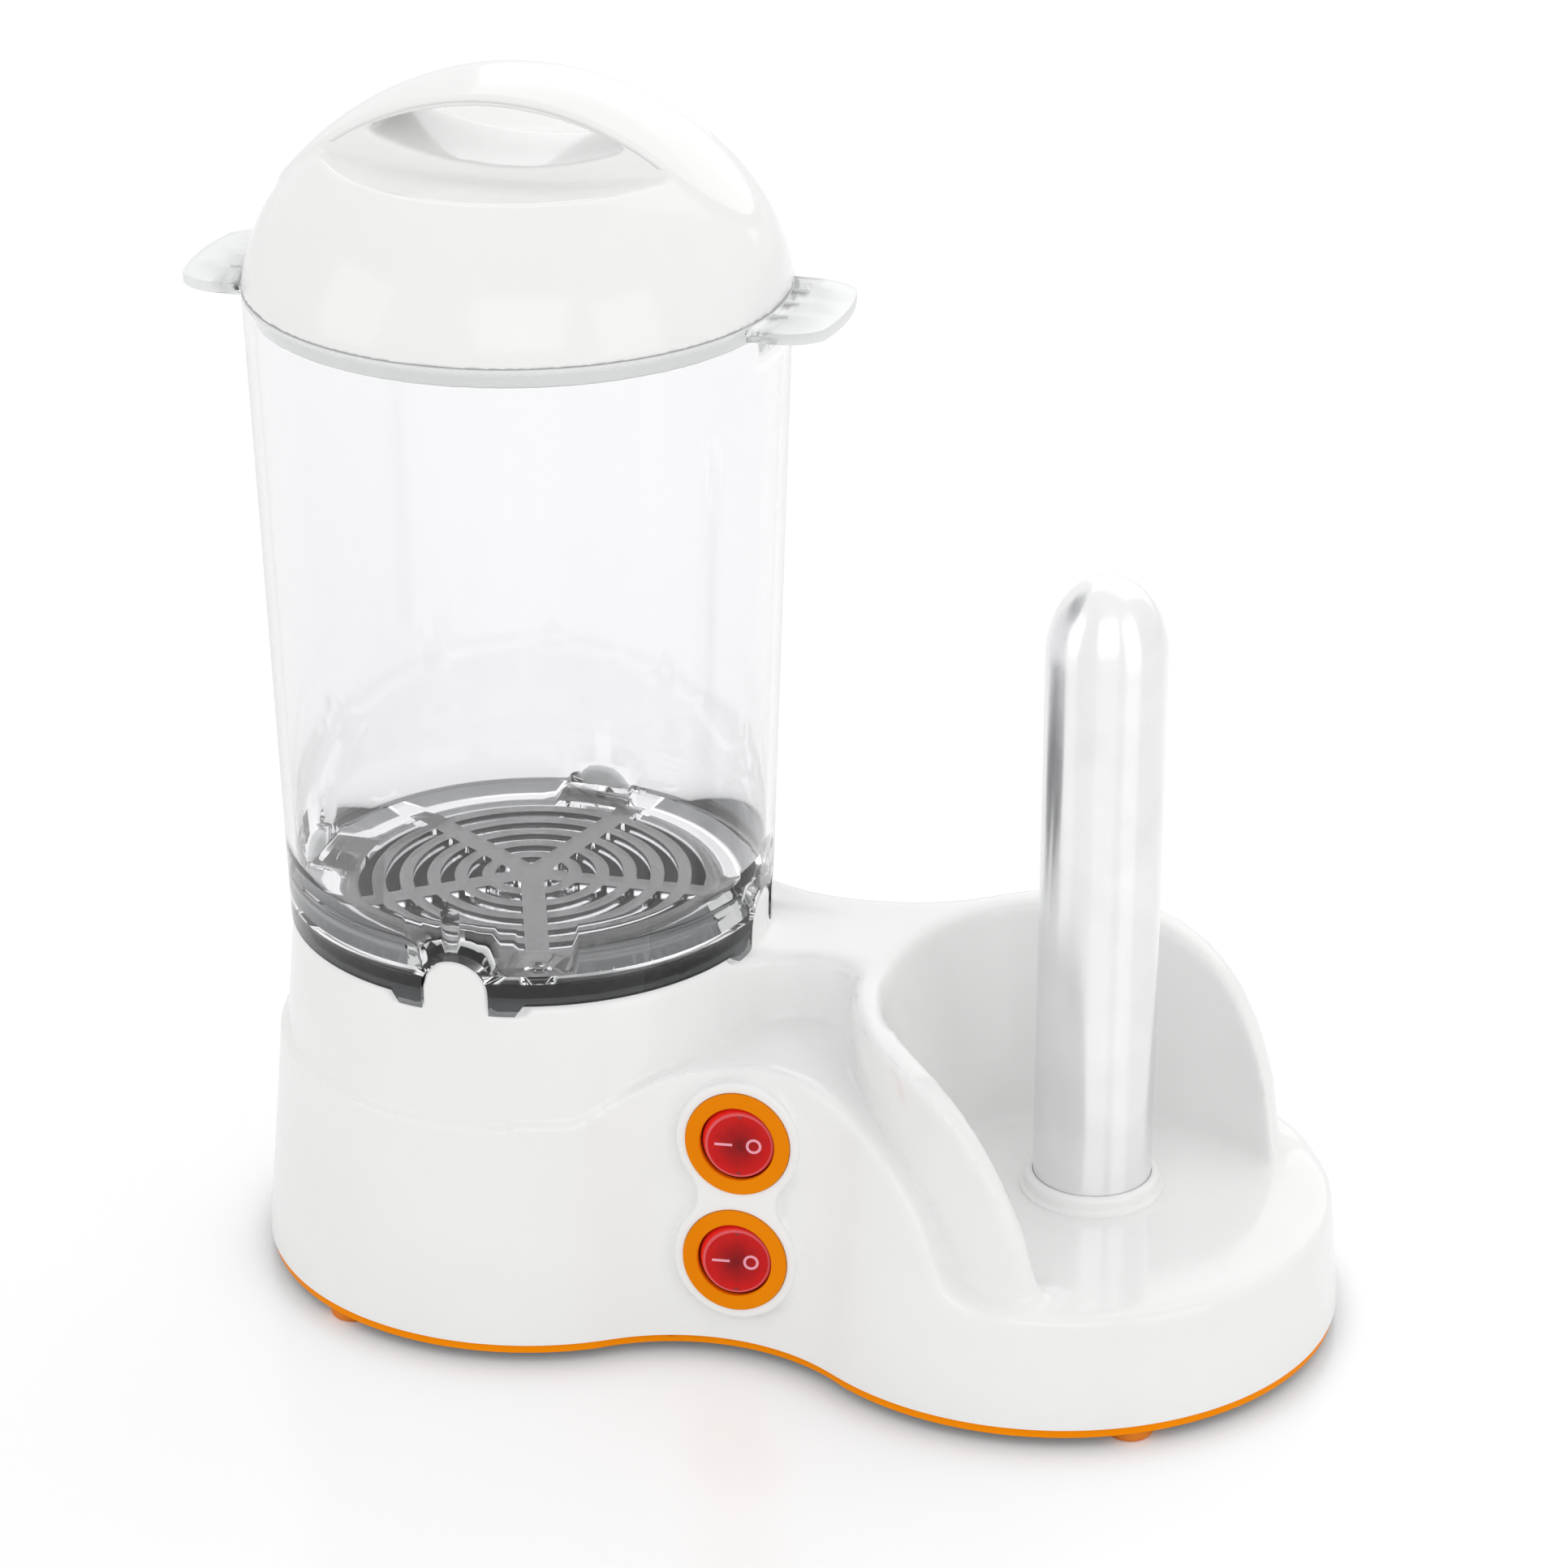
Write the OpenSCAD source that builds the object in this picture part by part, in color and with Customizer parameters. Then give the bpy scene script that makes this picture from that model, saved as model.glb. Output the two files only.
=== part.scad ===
// Table steamer: a heated drum with a clear lift-off container and a domed lid,
// and a platform with a heated spike inside a curved wall.
// Millimetres, +Z up, the feet stand on Z = 0 and the switches face -Y.

/* [Base plan] */
// Distance between the drum axis and the platform axis.
axis_gap = 127.6; // [126.6:0.2:129]
// Radius of the drum at the bottom edge of the shell.
drum_r = 65.4; // [65:0.1:66]
// Radius of the platform at the bottom edge of the shell.
pad_r = 68; // [67.4:0.1:68.6]
// Radius of the hollow waist, front and back.
waist_r = 48; // [47:0.5:50]
// Draft of the outside walls in degrees.
draft = 5; // [4.6:0.1:5.4]
// Wall thickness of the shell.
wall = 2.6; // [2.4:0.1:2.8]
// How far the faces for the switches and the gland stand out of the waist.
panel_out = 2.8; // [2.5:0.1:3.1]

/* [Base heights] */
// Height of the feet.
foot_h = 2.8; // [2.4:0.1:3.2]
// Thickness of the base plate.
plate_t = 2.2; // [2:0.1:2.6]
// Height of the platform.
pad_z = 32.6; // [32:0.2:33.6]
// Height of the step round the drum.
step_z = 59; // [58:0.5:60]
// Depth of the step round the drum.
step_in = 1.6; // [1.4:0.1:1.8]
// Height of the hump over the switch panel.
hump_z = 75.2; // [74.6:0.2:76]
// Radius of the hump's long arc.
hump_r = 46.4; // [46:0.2:47]
// Fall of the hump's top towards the middle, in degrees.
hump_fall = 7.3; // [6.5:0.1:8]
// Height of the neck between drum and wall.
neck_z = 87; // [86.6:0.1:87.2]
// Height of the drum's top face.
drum_z = 89; // [88.8:0.1:89.4]
// Shoulder radius of the drum.
shoulder_r = 3; // [2.4:0.2:3.4]

/* [Wall round the spike] */
// Centre of the well to the right of the platform axis.
well_dx = 13; // [12.4:0.2:13.6]
// Centre of the well in front of the platform axis.
well_dy = 8.6; // [8:0.2:9]
// Radius of the well at the platform.
well_r = 43.9; // [43.4:0.1:44.4]
// Outward lean of the wall in degrees.
well_lean = 7.7; // [7.2:0.1:8.2]
// Thickness of the wall.
ring_t = 7.8; // [7.4:0.1:8.2]
// Foot of the front wall to the right of the platform axis.
ridge_end = 10.4; // [9.6:0.2:11.2]
// Foot of the rear wall to the right of the platform axis.
rear_end = 50.8; // [50:0.2:51.4]
// Radius of the bay between drum and front wall.
bay_r = 17; // [16.4:0.2:17.6]

/* [Container] */
// Set-back of the container's foot from the bottom edge of the drum.
con_in = 8.4; // [8.2:0.1:8.6]
// How much wider the container's radius gets from foot to rim.
con_flare = 5; // [4.6:0.1:5.3]
// Height of the rim.
con_z = 243.4; // [240:0.5:247]
// Wall thickness of the container.
con_t = 2.2; // [2:0.1:2.4]
// Height of the slotted floor above the drum's top.
floor_up = 5; // [4.8:0.1:5.4]
// Width of the arches that fit over the drum's keys.
arch_w = 16; // [15:0.2:16.6]
// Height of the arches above the drum's top.
arch_h = 10.5; // [10:0.1:11]
// Width of the legs beside each arch.
leg_w = 8.5; // [7.5:0.1:9]
// Width of the lifting ears.
ear_w = 39; // [36:0.5:42]
// Reach of the lifting ears beyond the rim.
ear_out = 14.6; // [12:0.2:17]
// Thickness of the lifting ears.
ear_t = 2.6; // [2.2:0.1:3.2]

/* [Lid] */
// How much larger the radius of the lid's top arc is than the rim of the lid.
lid_crown = 5.7; // [5.3:0.1:6.1]
// Height of the lid above the container's rim.
lid_h = 47.7; // [47:0.1:48.2]
// Wall thickness of the lid.
lid_t = 2.4; // [2:0.1:2.6]
// Width of the grip bar across the lid.
bar_w = 29; // [27:0.5:30]
// Distance from the ends of the grip bar to the rim.
bar_in = 6.5; // [6:0.1:7.5]
// How far the grip bar stands proud of the dome.
bar_out = 0.7; // [0.5:0.1:1]
// Thickness of the bar's overhang.
bar_t = 3.2; // [2.8:0.1:3.6]
// Length of the finger hole through the bar.
grip_l = 61; // [57:0.5:63]
// Height of the finger hole in the middle.
grip_h = 13.2; // [12.4:0.1:13.6]
// Depth of the lid's bowl below the top of the dome.
bowl_in = 20.5; // [20:0.1:21]

/* [Spike] */
// Spike axis to the right of the platform axis.
spike_dx = 9.4; // [8.8:0.2:10]
// Radius of the spike.
spike_r = 13.9; // [13.4:0.1:14.3]
// Height of the spike's tip.
spike_z = 186; // [170:1:200]
// Wall thickness of the spike.
spike_t = 0.8; // [0.7:0.1:1]

/* [Switches] */
// Switch axis to the right of the middle of the waist.
switch_dx = 2.5; // [2:0.1:3]
// Height of the upper switch.
upper_z = 56.5; // [56.2:0.1:57]
// Height of the lower switch.
lower_z = 27.5; // [27:0.1:27.8]
// Outer radius of the bezels.
bezel_r = 12.4; // [12.2:0.1:12.6]
// Radius of a rocker's round sides about its pins.
rocker_r = 9.2; // [9.1:0.05:9.3]
// Tilt of a rocker to either side, in degrees.
rock = 8; // [7:0.5:8.5]

/* [Hidden] */
$fn = 72;
e = 0.01;
slip = 0.05;
bite = 0.25;
shell_z = foot_h + plate_t;
tan_d = tan(draft);
con_r = drum_r - con_in;
con_rim_r = con_r + con_flare;
ear_reach = con_rim_r + ear_out;
axis_x = -(axis_gap + pad_r - ear_reach) / 2;
waist_x = (axis_gap * axis_gap + pow(drum_r + waist_r, 2) - pow(pad_r + waist_r, 2)) / (2 * axis_gap);
waist_y = sqrt(pow(drum_r + waist_r, 2) - waist_x * waist_x);
panel_y = waist_y - waist_r + panel_out;
panel_w = 2 * sqrt(2 * waist_r * panel_out) + 5;
well_x = axis_gap + well_dx;
lean = tan(well_lean);
spike_x = axis_gap + spike_dx;
switch_x = waist_x + switch_dx;
hump_x = waist_x + 7.8;
bay_x = waist_x + 8.5;
neck_x = axis_gap - 35.6;
neck_y = 26.5;
bay_y = sqrt(pow(upper_r(neck_z - 6) + bay_r, 2) - bay_x * bay_x);
roof = 4.5;
con_slope = (con_rim_r - con_r) / (con_z - drum_z);
floor_z = drum_z + floor_up;
floor_t = 2;
leg_z = drum_z - 2.7;
key_r = con_r - 2.8;
arch_r = arch_w / 2;
dish_r = con_r - 9.6;
lip_r = con_r - 3.5;
boss_r = 20;
heater_r = dish_r - 15.4;
dish_z = drum_z - 9;
seal_t = 0.8;
lid_r = con_rim_r + 0.3;
lid_top_r = lid_r + lid_crown;
lid_top = con_z + lid_h - bar_out;
lid_side = con_z - 5.4;
lid_side_r = side_arc(lid_r);
lid_turn = atan2(lid_side - lid_top + lid_top_r, lid_r - lid_side_r);
bar_l = 2 * (con_rim_r - bar_in);
grip_z = lid_top - 10.7;
bowl_r = 220;
bowl_z = lid_top - bowl_in + bowl_r;
pivot = -3;
bezel_in = sqrt(rocker_r * rocker_r - pivot * pivot) + 0.12;
surround_r = bezel_r + 2.4;
body_r = bezel_r - 1.2;
gland_z = 17;
screw_r = 1.5;
clamp_z = pad_z - 6.2;
clamp_at = spike_r + 10.1;
fuse_y = heater_r - 11;
block = [32, 16, 13];
block_at = [10, 22];
screw_at = [for (p = [[drum_r - 12.8, 180], [drum_r - 12.8, 70], [drum_r - 12.8, -70]]) on_round(0, p),
    for (p = [[pad_r - 12.8, 110], [pad_r - 12.8, -110], [pad_r - 9.6, 0]]) on_round(axis_gap, p)];
foot_at = [on_round(0, [drum_r - 6.4, 120]), on_round(0, [drum_r - 6.4, -120]),
    on_round(axis_gap, [pad_r - 6.4, 60]), on_round(axis_gap, [pad_r - 6.4, -60])];

white = [0.93, 0.93, 0.93];
orange = [0.89, 0.51, 0];
clear = [0.85, 0.9, 0.92, 0.35];
dark = [0.2, 0.2, 0.21];
steel = [0.78, 0.79, 0.8];
brass = [0.8, 0.65, 0.3];
red = [0.78, 0.06, 0.12];
black = [0.08, 0.08, 0.08];

// A point at a radius and an angle about x.
function on_round(x, p) = [x + p[0] * cos(p[1]), p[0] * sin(p[1])];

// Radius of the drum above its step.
function upper_r(z) = drum_r - step_in - (z - shell_z) * tan_d;

// Radius of the lid's side arc, which touches the top arc.
function side_arc(r) =
    let (d = lid_top_r - lid_top + lid_side)
    (lid_top_r * lid_top_r - r * r - d * d) / (2 * (lid_top_r - r));

// Outer radius of the container.
function con_at(z) = con_r + (z - drum_z) * con_slope;

// A point of a cubic curve.
function curve(p, t) =
    p[0] * pow(1 - t, 3) + p[1] * 3 * t * pow(1 - t, 2) + p[2] * 3 * t * t * (1 - t) + p[3] * pow(t, 3);
function curve_points(p, n) = [for (i = [0:n]) curve(p, i / n)];

// Everything below is drawn about the drum axis and then moved into the middle of the part.
module place() {
    translate([axis_x, 0, 0]) children();
}

// A drafted round post whose radius r holds at the bottom edge of the shell.
module drafted(p, r, z0, z1, turn) {
    translate([p[0], p[1], z0])
        cylinder(r1 = r + turn * (z0 - shell_z) * tan_d, r2 = r + turn * (z1 - shell_z) * tan_d, h = z1 - z0);
}

// The drafted outline of the base, moved inwards by inset.
module outline(inset, z0, z1) {
    difference() {
        union() {
            drafted([0, 0], drum_r - inset, z0, z1, -1);
            drafted([axis_gap, 0], pad_r - inset, z0, z1, -1);
            translate([0, 0, z0])
                linear_extrude(z1 - z0)
                polygon([[0, 0], [waist_x, -waist_y], [axis_gap, 0], [waist_x, waist_y]]);
        }
        for (s = [-1, 1])
            drafted([waist_x, s * waist_y], waist_r + inset + bite, z0 - 1, z1 + 1, 1);
    }
    panel_block(inset, z0, z1);
}

// The flat panel at the back of the waist.
module panel_block(inset, z0, z1) {
    w = panel_w - 2 * inset;
    y0 = panel_y - inset - (z0 - shell_z) * tan_d;
    y1 = panel_y - inset - (z1 - shell_z) * tan_d;
    translate([waist_x - w / 2, 0, 0])
        rotate([90, 0, 90])
        linear_extrude(w)
        polygon([[0, z0], [y0, z0], [y1, z1], [0, z1]]);
}

// The hump's side profile, drawn at the switch panel, with a hollow curve at its right foot.
module hump_profile(inset) {
    c = hump_z - hump_r;
    r = hump_r - inset;
    x0 = waist_x - 37.5;
    foot = 8 + inset;
    left = curve_points([[x0, step_z - inset], [x0 + 10, step_z - inset], [x0 + 10, hump_z - 6 - inset],
        [hump_x - 12, hump_z - 1.6 - inset]], 8);
    polygon(concat([[x0 - 10, pad_z - 8], [x0 - 10, step_z - inset]], left,
        [[hump_x, c], [hump_x, pad_z - 8]]));
    intersection() {
        translate([hump_x, c]) circle(r);
        polygon([[hump_x, pad_z - 8], [hump_x, c], [hump_x - 12, hump_z - 1.6 - inset],
            [hump_x - 12, hump_z + 9], [hump_x + r + 9, hump_z + 9], [hump_x + r + 9, pad_z - 8]]);
    }
    difference() {
        translate([hump_x + r - 6, pad_z - 8]) square([5 + foot, 8 + foot - inset]);
        translate([hump_x + r - 0.6 + foot, pad_z - inset + foot]) circle(foot);
        translate([hump_x + r - 0.6 + foot, pad_z - inset]) square(foot);
    }
}

// The hump over the waist, falling towards the middle from the front and from the back.
module hump(inset) {
    for (s = [0, 1])
        mirror([0, s, 0])
        translate([0, -panel_y, hump_z])
        rotate([-hump_fall, 0, 0])
        translate([0, 60, -hump_z])
        rotate([90, 0, 0])
        linear_extrude(85)
        hump_profile(inset);
}

// The lower body: one drafted outline, cut down to the platform, the step of the drum and the hump.
module lower_body(inset, z0) {
    difference() {
        outline(inset, z0, hump_z + 12);
        difference() {
            translate([-90, -90, pad_z - inset]) cube([axis_gap + 180, 180, hump_z]);
            translate([0, 0, pad_z - inset - 1]) cylinder(r = drum_r + 3, h = step_z - pad_z + 1);
            hump(inset);
        }
    }
}

// The drum above the step, with a rounded shoulder.
module upper_drum() {
    zs = drum_z - shoulder_r;
    xs = upper_r(zs) - shoulder_r / cos(draft);
    rotate_extrude() {
        polygon([[0, step_z - 6], [upper_r(step_z - 6), step_z - 6],
            [xs + shoulder_r * cos(draft), zs + shoulder_r * sin(draft)], [xs, drum_z], [0, drum_z]]);
        intersection() {
            translate([xs, zs]) circle(shoulder_r);
            translate([xs - 1, zs]) square([shoulder_r + 2, shoulder_r + 1]);
        }
    }
}

// The neck between the drum and the wall round the spike.
module neck() {
    rear_r = 60;
    difference() {
        translate([0, 0, step_z - 4])
            linear_extrude(neck_z - step_z + 4)
            polygon([[waist_x - 51, 0], [bay_x, -bay_y], [well_x - 20, -well_dy], [neck_x + 8, 36],
                [neck_x, 46], [waist_x - 21, 46], [waist_x - 51, 30]]);
        translate([bay_x, -bay_y, step_z - 5])
            cylinder(r1 = bay_r - (neck_z - step_z) * tan_d, r2 = bay_r + tan_d, h = neck_z - step_z + 6);
        translate([waist_x + 9.5, neck_y + rear_r, step_z - 5])
            cylinder(r1 = rear_r - (neck_z - step_z) * tan_d, r2 = rear_r + tan_d, h = neck_z - step_z + 6);
    }
}

// Side profile of a wall that runs down to the platform at x1.
module wall_profile(x1, reach, fall) {
    pts = curve_points([[neck_x, neck_z], [neck_x + reach[0], neck_z], [x1 - reach[1], neck_z - fall],
        [x1 + 0.6, pad_z - 2]], 14);
    polygon(concat([[neck_x - 32, pad_z - 2], [neck_x - 32, neck_z]], pts));
}

// The leaning wall round the spike, one half cut by its own side profile.
module leaning_wall(front) {
    z0 = pad_z - 2;
    intersection() {
        translate([well_x, -well_dy, 0])
            rotate_extrude()
            polygon([[well_r - 2 * lean - 0.4, z0], [well_r - 2 * lean + ring_t, z0],
                [well_r + (neck_z - pad_z) * lean + ring_t, neck_z],
                [well_r + (neck_z - pad_z) * lean - 0.4, neck_z]]);
        translate([0, front ? -well_dy : 90, 0])
            rotate([90, 0, 0])
            linear_extrude(90 + (front ? 0 : well_dy))
            if (front) wall_profile(axis_gap + ridge_end, [20, 11], 9);
            else wall_profile(axis_gap + rear_end, [59, 10], 8);
    }
}

// The space inside the wall, above the platform.
module well(grow) {
    h = neck_z + 6 - pad_z;
    translate([well_x, -well_dy, pad_z - grow])
        cylinder(r1 = well_r + grow, r2 = well_r + grow + h * lean, h = h + grow);
}

// Four places round the drum axis.
module round_keys() {
    for (a = [0:90:270])
        rotate(a) children();
}

// An arch standing on the drum's top, drawn along X.
module arch(r, x0, x1, z0) {
    zc = drum_z + arch_h - arch_r;
    translate([x0, 0, 0])
        rotate([90, 0, 90])
        linear_extrude(x1 - x0)
        union() {
            translate([0, zc]) circle(r);
            translate([-r, z0]) square([2 * r, zc - z0]);
        }
}

// The keys on the drum's top that the container fits over.
module keys() {
    intersection() {
        round_keys() arch(arch_r - 0.3, key_r, con_r + 2, leg_z - 1);
        translate([0, 0, leg_z - 2])
            cylinder(r1 = con_at(leg_z - 2) - 0.1, r2 = con_at(leg_z + 18) - 0.1, h = 20);
    }
}

// The notches in the drum's edge where the container's legs stand.
module leg_seats() {
    w = arch_r + leg_w + 0.4;
    difference() {
        round_keys() translate([con_r - 16, -w, leg_z]) cube([30, 2 * w, 6]);
        translate([0, 0, leg_z - 1]) cylinder(r = con_at(leg_z) - con_t - 0.5, h = 8);
    }
}

// Moves children onto the switch panel, their Z pointing out of it.
module on_panel(z) {
    translate([switch_x, -panel_y + (z - shell_z) * tan_d, z])
        rotate([90 - draft, 0, 0]) children();
}

module on_rear_panel(z) {
    translate([waist_x, panel_y - (z - shell_z) * tan_d, z])
        rotate([-90 + draft, 0, 0]) children();
}

// The raised figure of eight that carries the switches, from z0 to z1 out of its face.
module surround(r, z0, z1) {
    for (z = [lower_z, upper_z])
        on_panel(z) translate([0, 0, z0]) cylinder(r = r, h = z1 - z0);
    on_panel((lower_z + upper_z) / 2)
        translate([-r + 5.3, -7, z0]) cube([2 * r - 10.6, 14, z1 - z0]);
}

module base_shell() {
    color(white) place() {
        difference() {
            union() {
                lower_body(0, shell_z);
                upper_drum();
                neck();
                leaning_wall(true);
                leaning_wall(false);
                surround(surround_r, -4, 1.1);
            }
            well(0);
            shell_space();
            translate([0, 0, drum_z - roof - 1]) cylinder(r = dish_r + 1, h = roof + 2);
            leg_seats();
            for (z = [lower_z, upper_z])
                on_panel(z) {
                    translate([0, 0, -8]) cylinder(r = body_r + 0.1, h = 12);
                    cylinder(r = bezel_r + 0.15, h = 4);
                }
            on_rear_panel(gland_z) translate([0, 0, -8]) cylinder(r = 6.1, h = 12);
            translate([spike_x, 0, pad_z - 8]) cylinder(r = spike_r + 1, h = 12);
            for (p = screw_at)
                translate([p[0], p[1], shell_z - 1]) cylinder(r = screw_r + slip, h = 15);
            for (s = [-1, 1])
                translate([spike_x, s * clamp_at, clamp_z - 1]) cylinder(r = screw_r + slip, h = 5.8);
        }
        keys();
    }
}

// The hollow inside of the shell, left open at the bottom, with posts for the screws.
module shell_space() {
    difference() {
        union() {
            lower_body(wall, shell_z - 1);
            translate([0, 0, step_z - 12])
                cylinder(r1 = upper_r(step_z - 12) - wall, r2 = upper_r(drum_z - roof) - wall,
                    h = drum_z - roof - step_z + 12);
            surround(body_r + 1.6, -6.5, -wall);
        }
        well(wall);
        for (p = screw_at)
            translate([p[0], p[1], shell_z - 2]) cylinder(r = 4.2, h = 70);
        for (s = [-1, 1])
            translate([spike_x, s * clamp_at, clamp_z]) cylinder(r = 3.8, h = 20);
    }
}

module base_plate() {
    color(orange) place() difference() {
        outline(0.8, foot_h, shell_z);
        for (p = screw_at)
            translate([p[0], p[1], foot_h - 1]) {
                cylinder(r = screw_r + 0.3, h = 6);
                cylinder(r = 3.2, h = 2);
            }
        for (p = foot_at)
            translate([p[0], p[1], foot_h - 1]) cylinder(r = 2.4 + slip, h = 6);
    }
}

module feet() {
    color(orange) place()
        for (p = foot_at)
            translate([p[0], p[1], 0]) {
                cylinder(r1 = 5, r2 = 5.5, h = 1);
                translate([0, 0, 1]) cylinder(r = 5.5, h = foot_h - 1);
                cylinder(r = 2.4, h = shell_z + 1.2);
            }
}

module base_screws() {
    color(steel) place()
        for (p = screw_at)
            translate([p[0], p[1], foot_h - 0.9]) difference() {
                union() {
                    translate([0, 0, 0.9]) cylinder(r = screw_r, h = 13);
                    translate([0, 0, 0.1]) cylinder(r = 2.9, h = 1.8);
                }
                for (a = [0, 90])
                    rotate(a) translate([-1.6, -0.35, -1]) cube([3.2, 0.7, 1.9]);
            }
}

// Heated water dish in the drum's top.
module heater_dish() {
    zf = drum_z + seal_t;
    color(dark) place() rotate_extrude()
        polygon([[0, dish_z], [dish_r, dish_z], [dish_r, zf], [lip_r, zf], [lip_r, zf + 3.8],
            [lip_r - 1.2, zf + 3.8], [lip_r - 1.2, zf + 1.4], [dish_r - 1.4, zf + 1.4],
            [dish_r - 1.4, dish_z + 1.6], [boss_r + 2, dish_z + 1.6], [boss_r, dish_z + 2.8],
            [0, dish_z + 2.8]]);
}

module dish_seal() {
    r0 = dish_r + 1.1;
    color([0.85, 0.85, 0.82]) place() rotate_extrude()
        translate([r0, drum_z]) square([lip_r - 0.3 - r0, seal_t]);
}

// Spring ring pushed onto the dish from below.
module dish_ring() {
    color(steel) place() translate([0, 0, drum_z - roof - 1.2])
        difference() {
            cylinder(r = dish_r + 4.6, h = 1.2);
            translate([0, 0, -1]) cylinder(r = dish_r, h = 4);
            for (a = [15:30:345])
                rotate(a) translate([dish_r - 0.5, -1.2, -1]) cube([2.2, 2.4, 4]);
        }
}

// Tube element under the dish, flat where it touches.
module ring_heater() {
    color(steel) place() difference() {
        union() {
            translate([0, 0, dish_z - 2.6])
                rotate([0, 0, 20]) rotate_extrude(angle = 320) translate([heater_r, 0]) circle(3.2);
            for (a = [20, 340])
                rotate(a) translate([heater_r, 0, dish_z - 17]) cylinder(r = 3.2, h = 15);
            for (a = [20, 340])
                rotate(a) translate([heater_r - 0.4, -2.4, dish_z - 25]) cube([0.8, 4.8, 9]);
        }
        translate([-dish_r, -dish_r, dish_z]) cube([2 * dish_r, 2 * dish_r, 10]);
    }
}

module thermostat() {
    color(black) place() translate([0, 0, dish_z]) {
        translate([0, 0, -7]) cylinder(r = 8, h = 7);
        translate([0, 0, -1]) cylinder(r = 11, h = 1);
        for (s = [-1, 1])
            translate([s * 5 - 0.4, -2.4, -15]) cube([0.8, 4.8, 9]);
    }
}

module thermal_fuse() {
    color(steel) place() translate([0, fuse_y, dish_z]) {
        translate([-6, 0, -2.4]) rotate([0, 90, 0]) cylinder(r = 2, h = 12);
        translate([-9, 0, -2.4]) rotate([0, 90, 0]) cylinder(r = 0.5, h = 18);
        translate([-4, -3, -1.6]) cube([8, 6, 1.6]);
    }
}

// Clear container with a slotted floor, arches over the keys and two lifting ears.
module container() {
    color(clear) place() {
        difference() {
            union() {
                rotate_extrude()
                    polygon([[con_at(leg_z) - con_t, leg_z], [con_at(leg_z), leg_z], [con_rim_r, con_z],
                        [con_rim_r - con_t, con_z]]);
                translate([0, 0, floor_z]) cylinder(r = con_at(floor_z) - 1, h = floor_t);
                hoods();
                ears();
            }
            round_keys() arch(arch_r, key_r - 0.4, con_r + 6, leg_z - 2);
            difference() {
                translate([0, 0, leg_z - 2]) cylinder(r = con_rim_r + 4, h = drum_z - leg_z + 2);
                round_keys() legs();
            }
            floor_slots();
        }
        rotate(-70) translate([con_r - 7, 0, floor_z + floor_t - 0.2]) difference() {
            cylinder(r = 2.2, h = 0.8);
            translate([0, 0, -1]) cylinder(r = 1.3, h = 4);
        }
    }
}

// The part of the skirt that stays below the drum's top, narrower at the foot.
module legs() {
    w = arch_r + leg_w;
    translate([con_r - 8, 0, 0])
        rotate([90, 0, 90])
        linear_extrude(14)
        polygon([[-w + 2.6, leg_z - 3], [w - 2.6, leg_z - 3], [w - 2.6, leg_z], [w, drum_z + 1],
            [-w, drum_z + 1], [-w + 2.6, leg_z]]);
}

// Half round hoods over the keys, inside the container.
module hoods() {
    intersection() {
        round_keys() arch(arch_r + 1.6, key_r - 2, con_r + 2, floor_z);
        translate([0, 0, floor_z])
            cylinder(r1 = con_at(floor_z) - 0.2, r2 = con_at(floor_z + 20) - 0.2, h = 20);
    }
}

// Ring slots in the floor, bridged by spokes.
module floor_slots() {
    difference() {
        translate([0, 0, floor_z - 1])
            for (r = [7:6.5:dish_r - 7])
                difference() {
                    cylinder(r = r + 1.7, h = floor_t + 2);
                    translate([0, 0, -1]) cylinder(r = r - 1.7, h = floor_t + 4);
                }
        for (a = [-70:72:218])
            rotate(a) translate([0, -2.75, floor_z - 2]) cube([dish_r, 5.5, floor_t + 4]);
    }
}

// Ears at the rim, each with three ribs beside the lid.
module ears() {
    c = 11;
    x0 = con_rim_r - 22;
    for (s = [0, 180])
        rotate(s) difference() {
            union() {
                translate([0, 0, con_z - 0.6 - ear_t])
                    linear_extrude(ear_t)
                    intersection() {
                        union() {
                            translate([x0, -ear_w / 2]) square([ear_reach - x0 - c, ear_w]);
                            translate([x0, -ear_w / 2 + c]) square([ear_reach - x0, ear_w - 2 * c]);
                            for (y = [-1, 1])
                                translate([ear_reach - c, y * (ear_w / 2 - c)]) circle(c);
                        }
                        translate([ear_reach - con_rim_r, 0]) circle(con_rim_r);
                    }
                for (y = [-9, 0, 9])
                    translate([con_rim_r - 2, y - 0.4, con_z - 1]) cube([5.4, 0.8, 0.9]);
            }
            translate([0, 0, con_z - 30])
                cylinder(r1 = con_at(con_z - 30) - 0.8, r2 = con_at(con_z + 10) - 0.8, h = 40);
        }
}

// Half section of the lid's dome, moved out by grow.
module dome_section(grow) {
    k = 200;
    c1 = lid_top - lid_top_r;
    c2 = lid_r - lid_side_r;
    d = [cos(lid_turn), sin(lid_turn)];
    intersection() {
        union() {
            intersection() {
                translate([0, c1]) circle(lid_top_r + grow);
                polygon([[0, c1], [0, c1 + k], [k, c1 + k], [k * d[0], c1 + k * d[1]]]);
            }
            intersection() {
                translate([c2, lid_side]) circle(lid_side_r + grow);
                polygon([[0, c1], [k * d[0], c1 + k * d[1]], [k, 0], [0, 0]]);
            }
            polygon([[0, con_z - 10], [c2 + 1, con_z - 10], [c2 + 1, lid_side + 1], [0, lid_side + 1]]);
        }
        translate([0, con_z]) square([90, 90]);
    }
}

module dome(grow) {
    rotate_extrude() dome_section(grow);
}

// The bar across the lid, rounded at its ends.
module bar_plan() {
    r = bar_w / 2;
    c = bar_l / 2 - r;
    translate([0, 0, con_z + 8])
        linear_extrude(60)
        polygon(concat([for (a = [-90:7.5:90]) [c + r * cos(a), r * sin(a)]],
            [for (a = [90:7.5:270]) [-c + r * cos(a), r * sin(a)]]));
}

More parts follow.
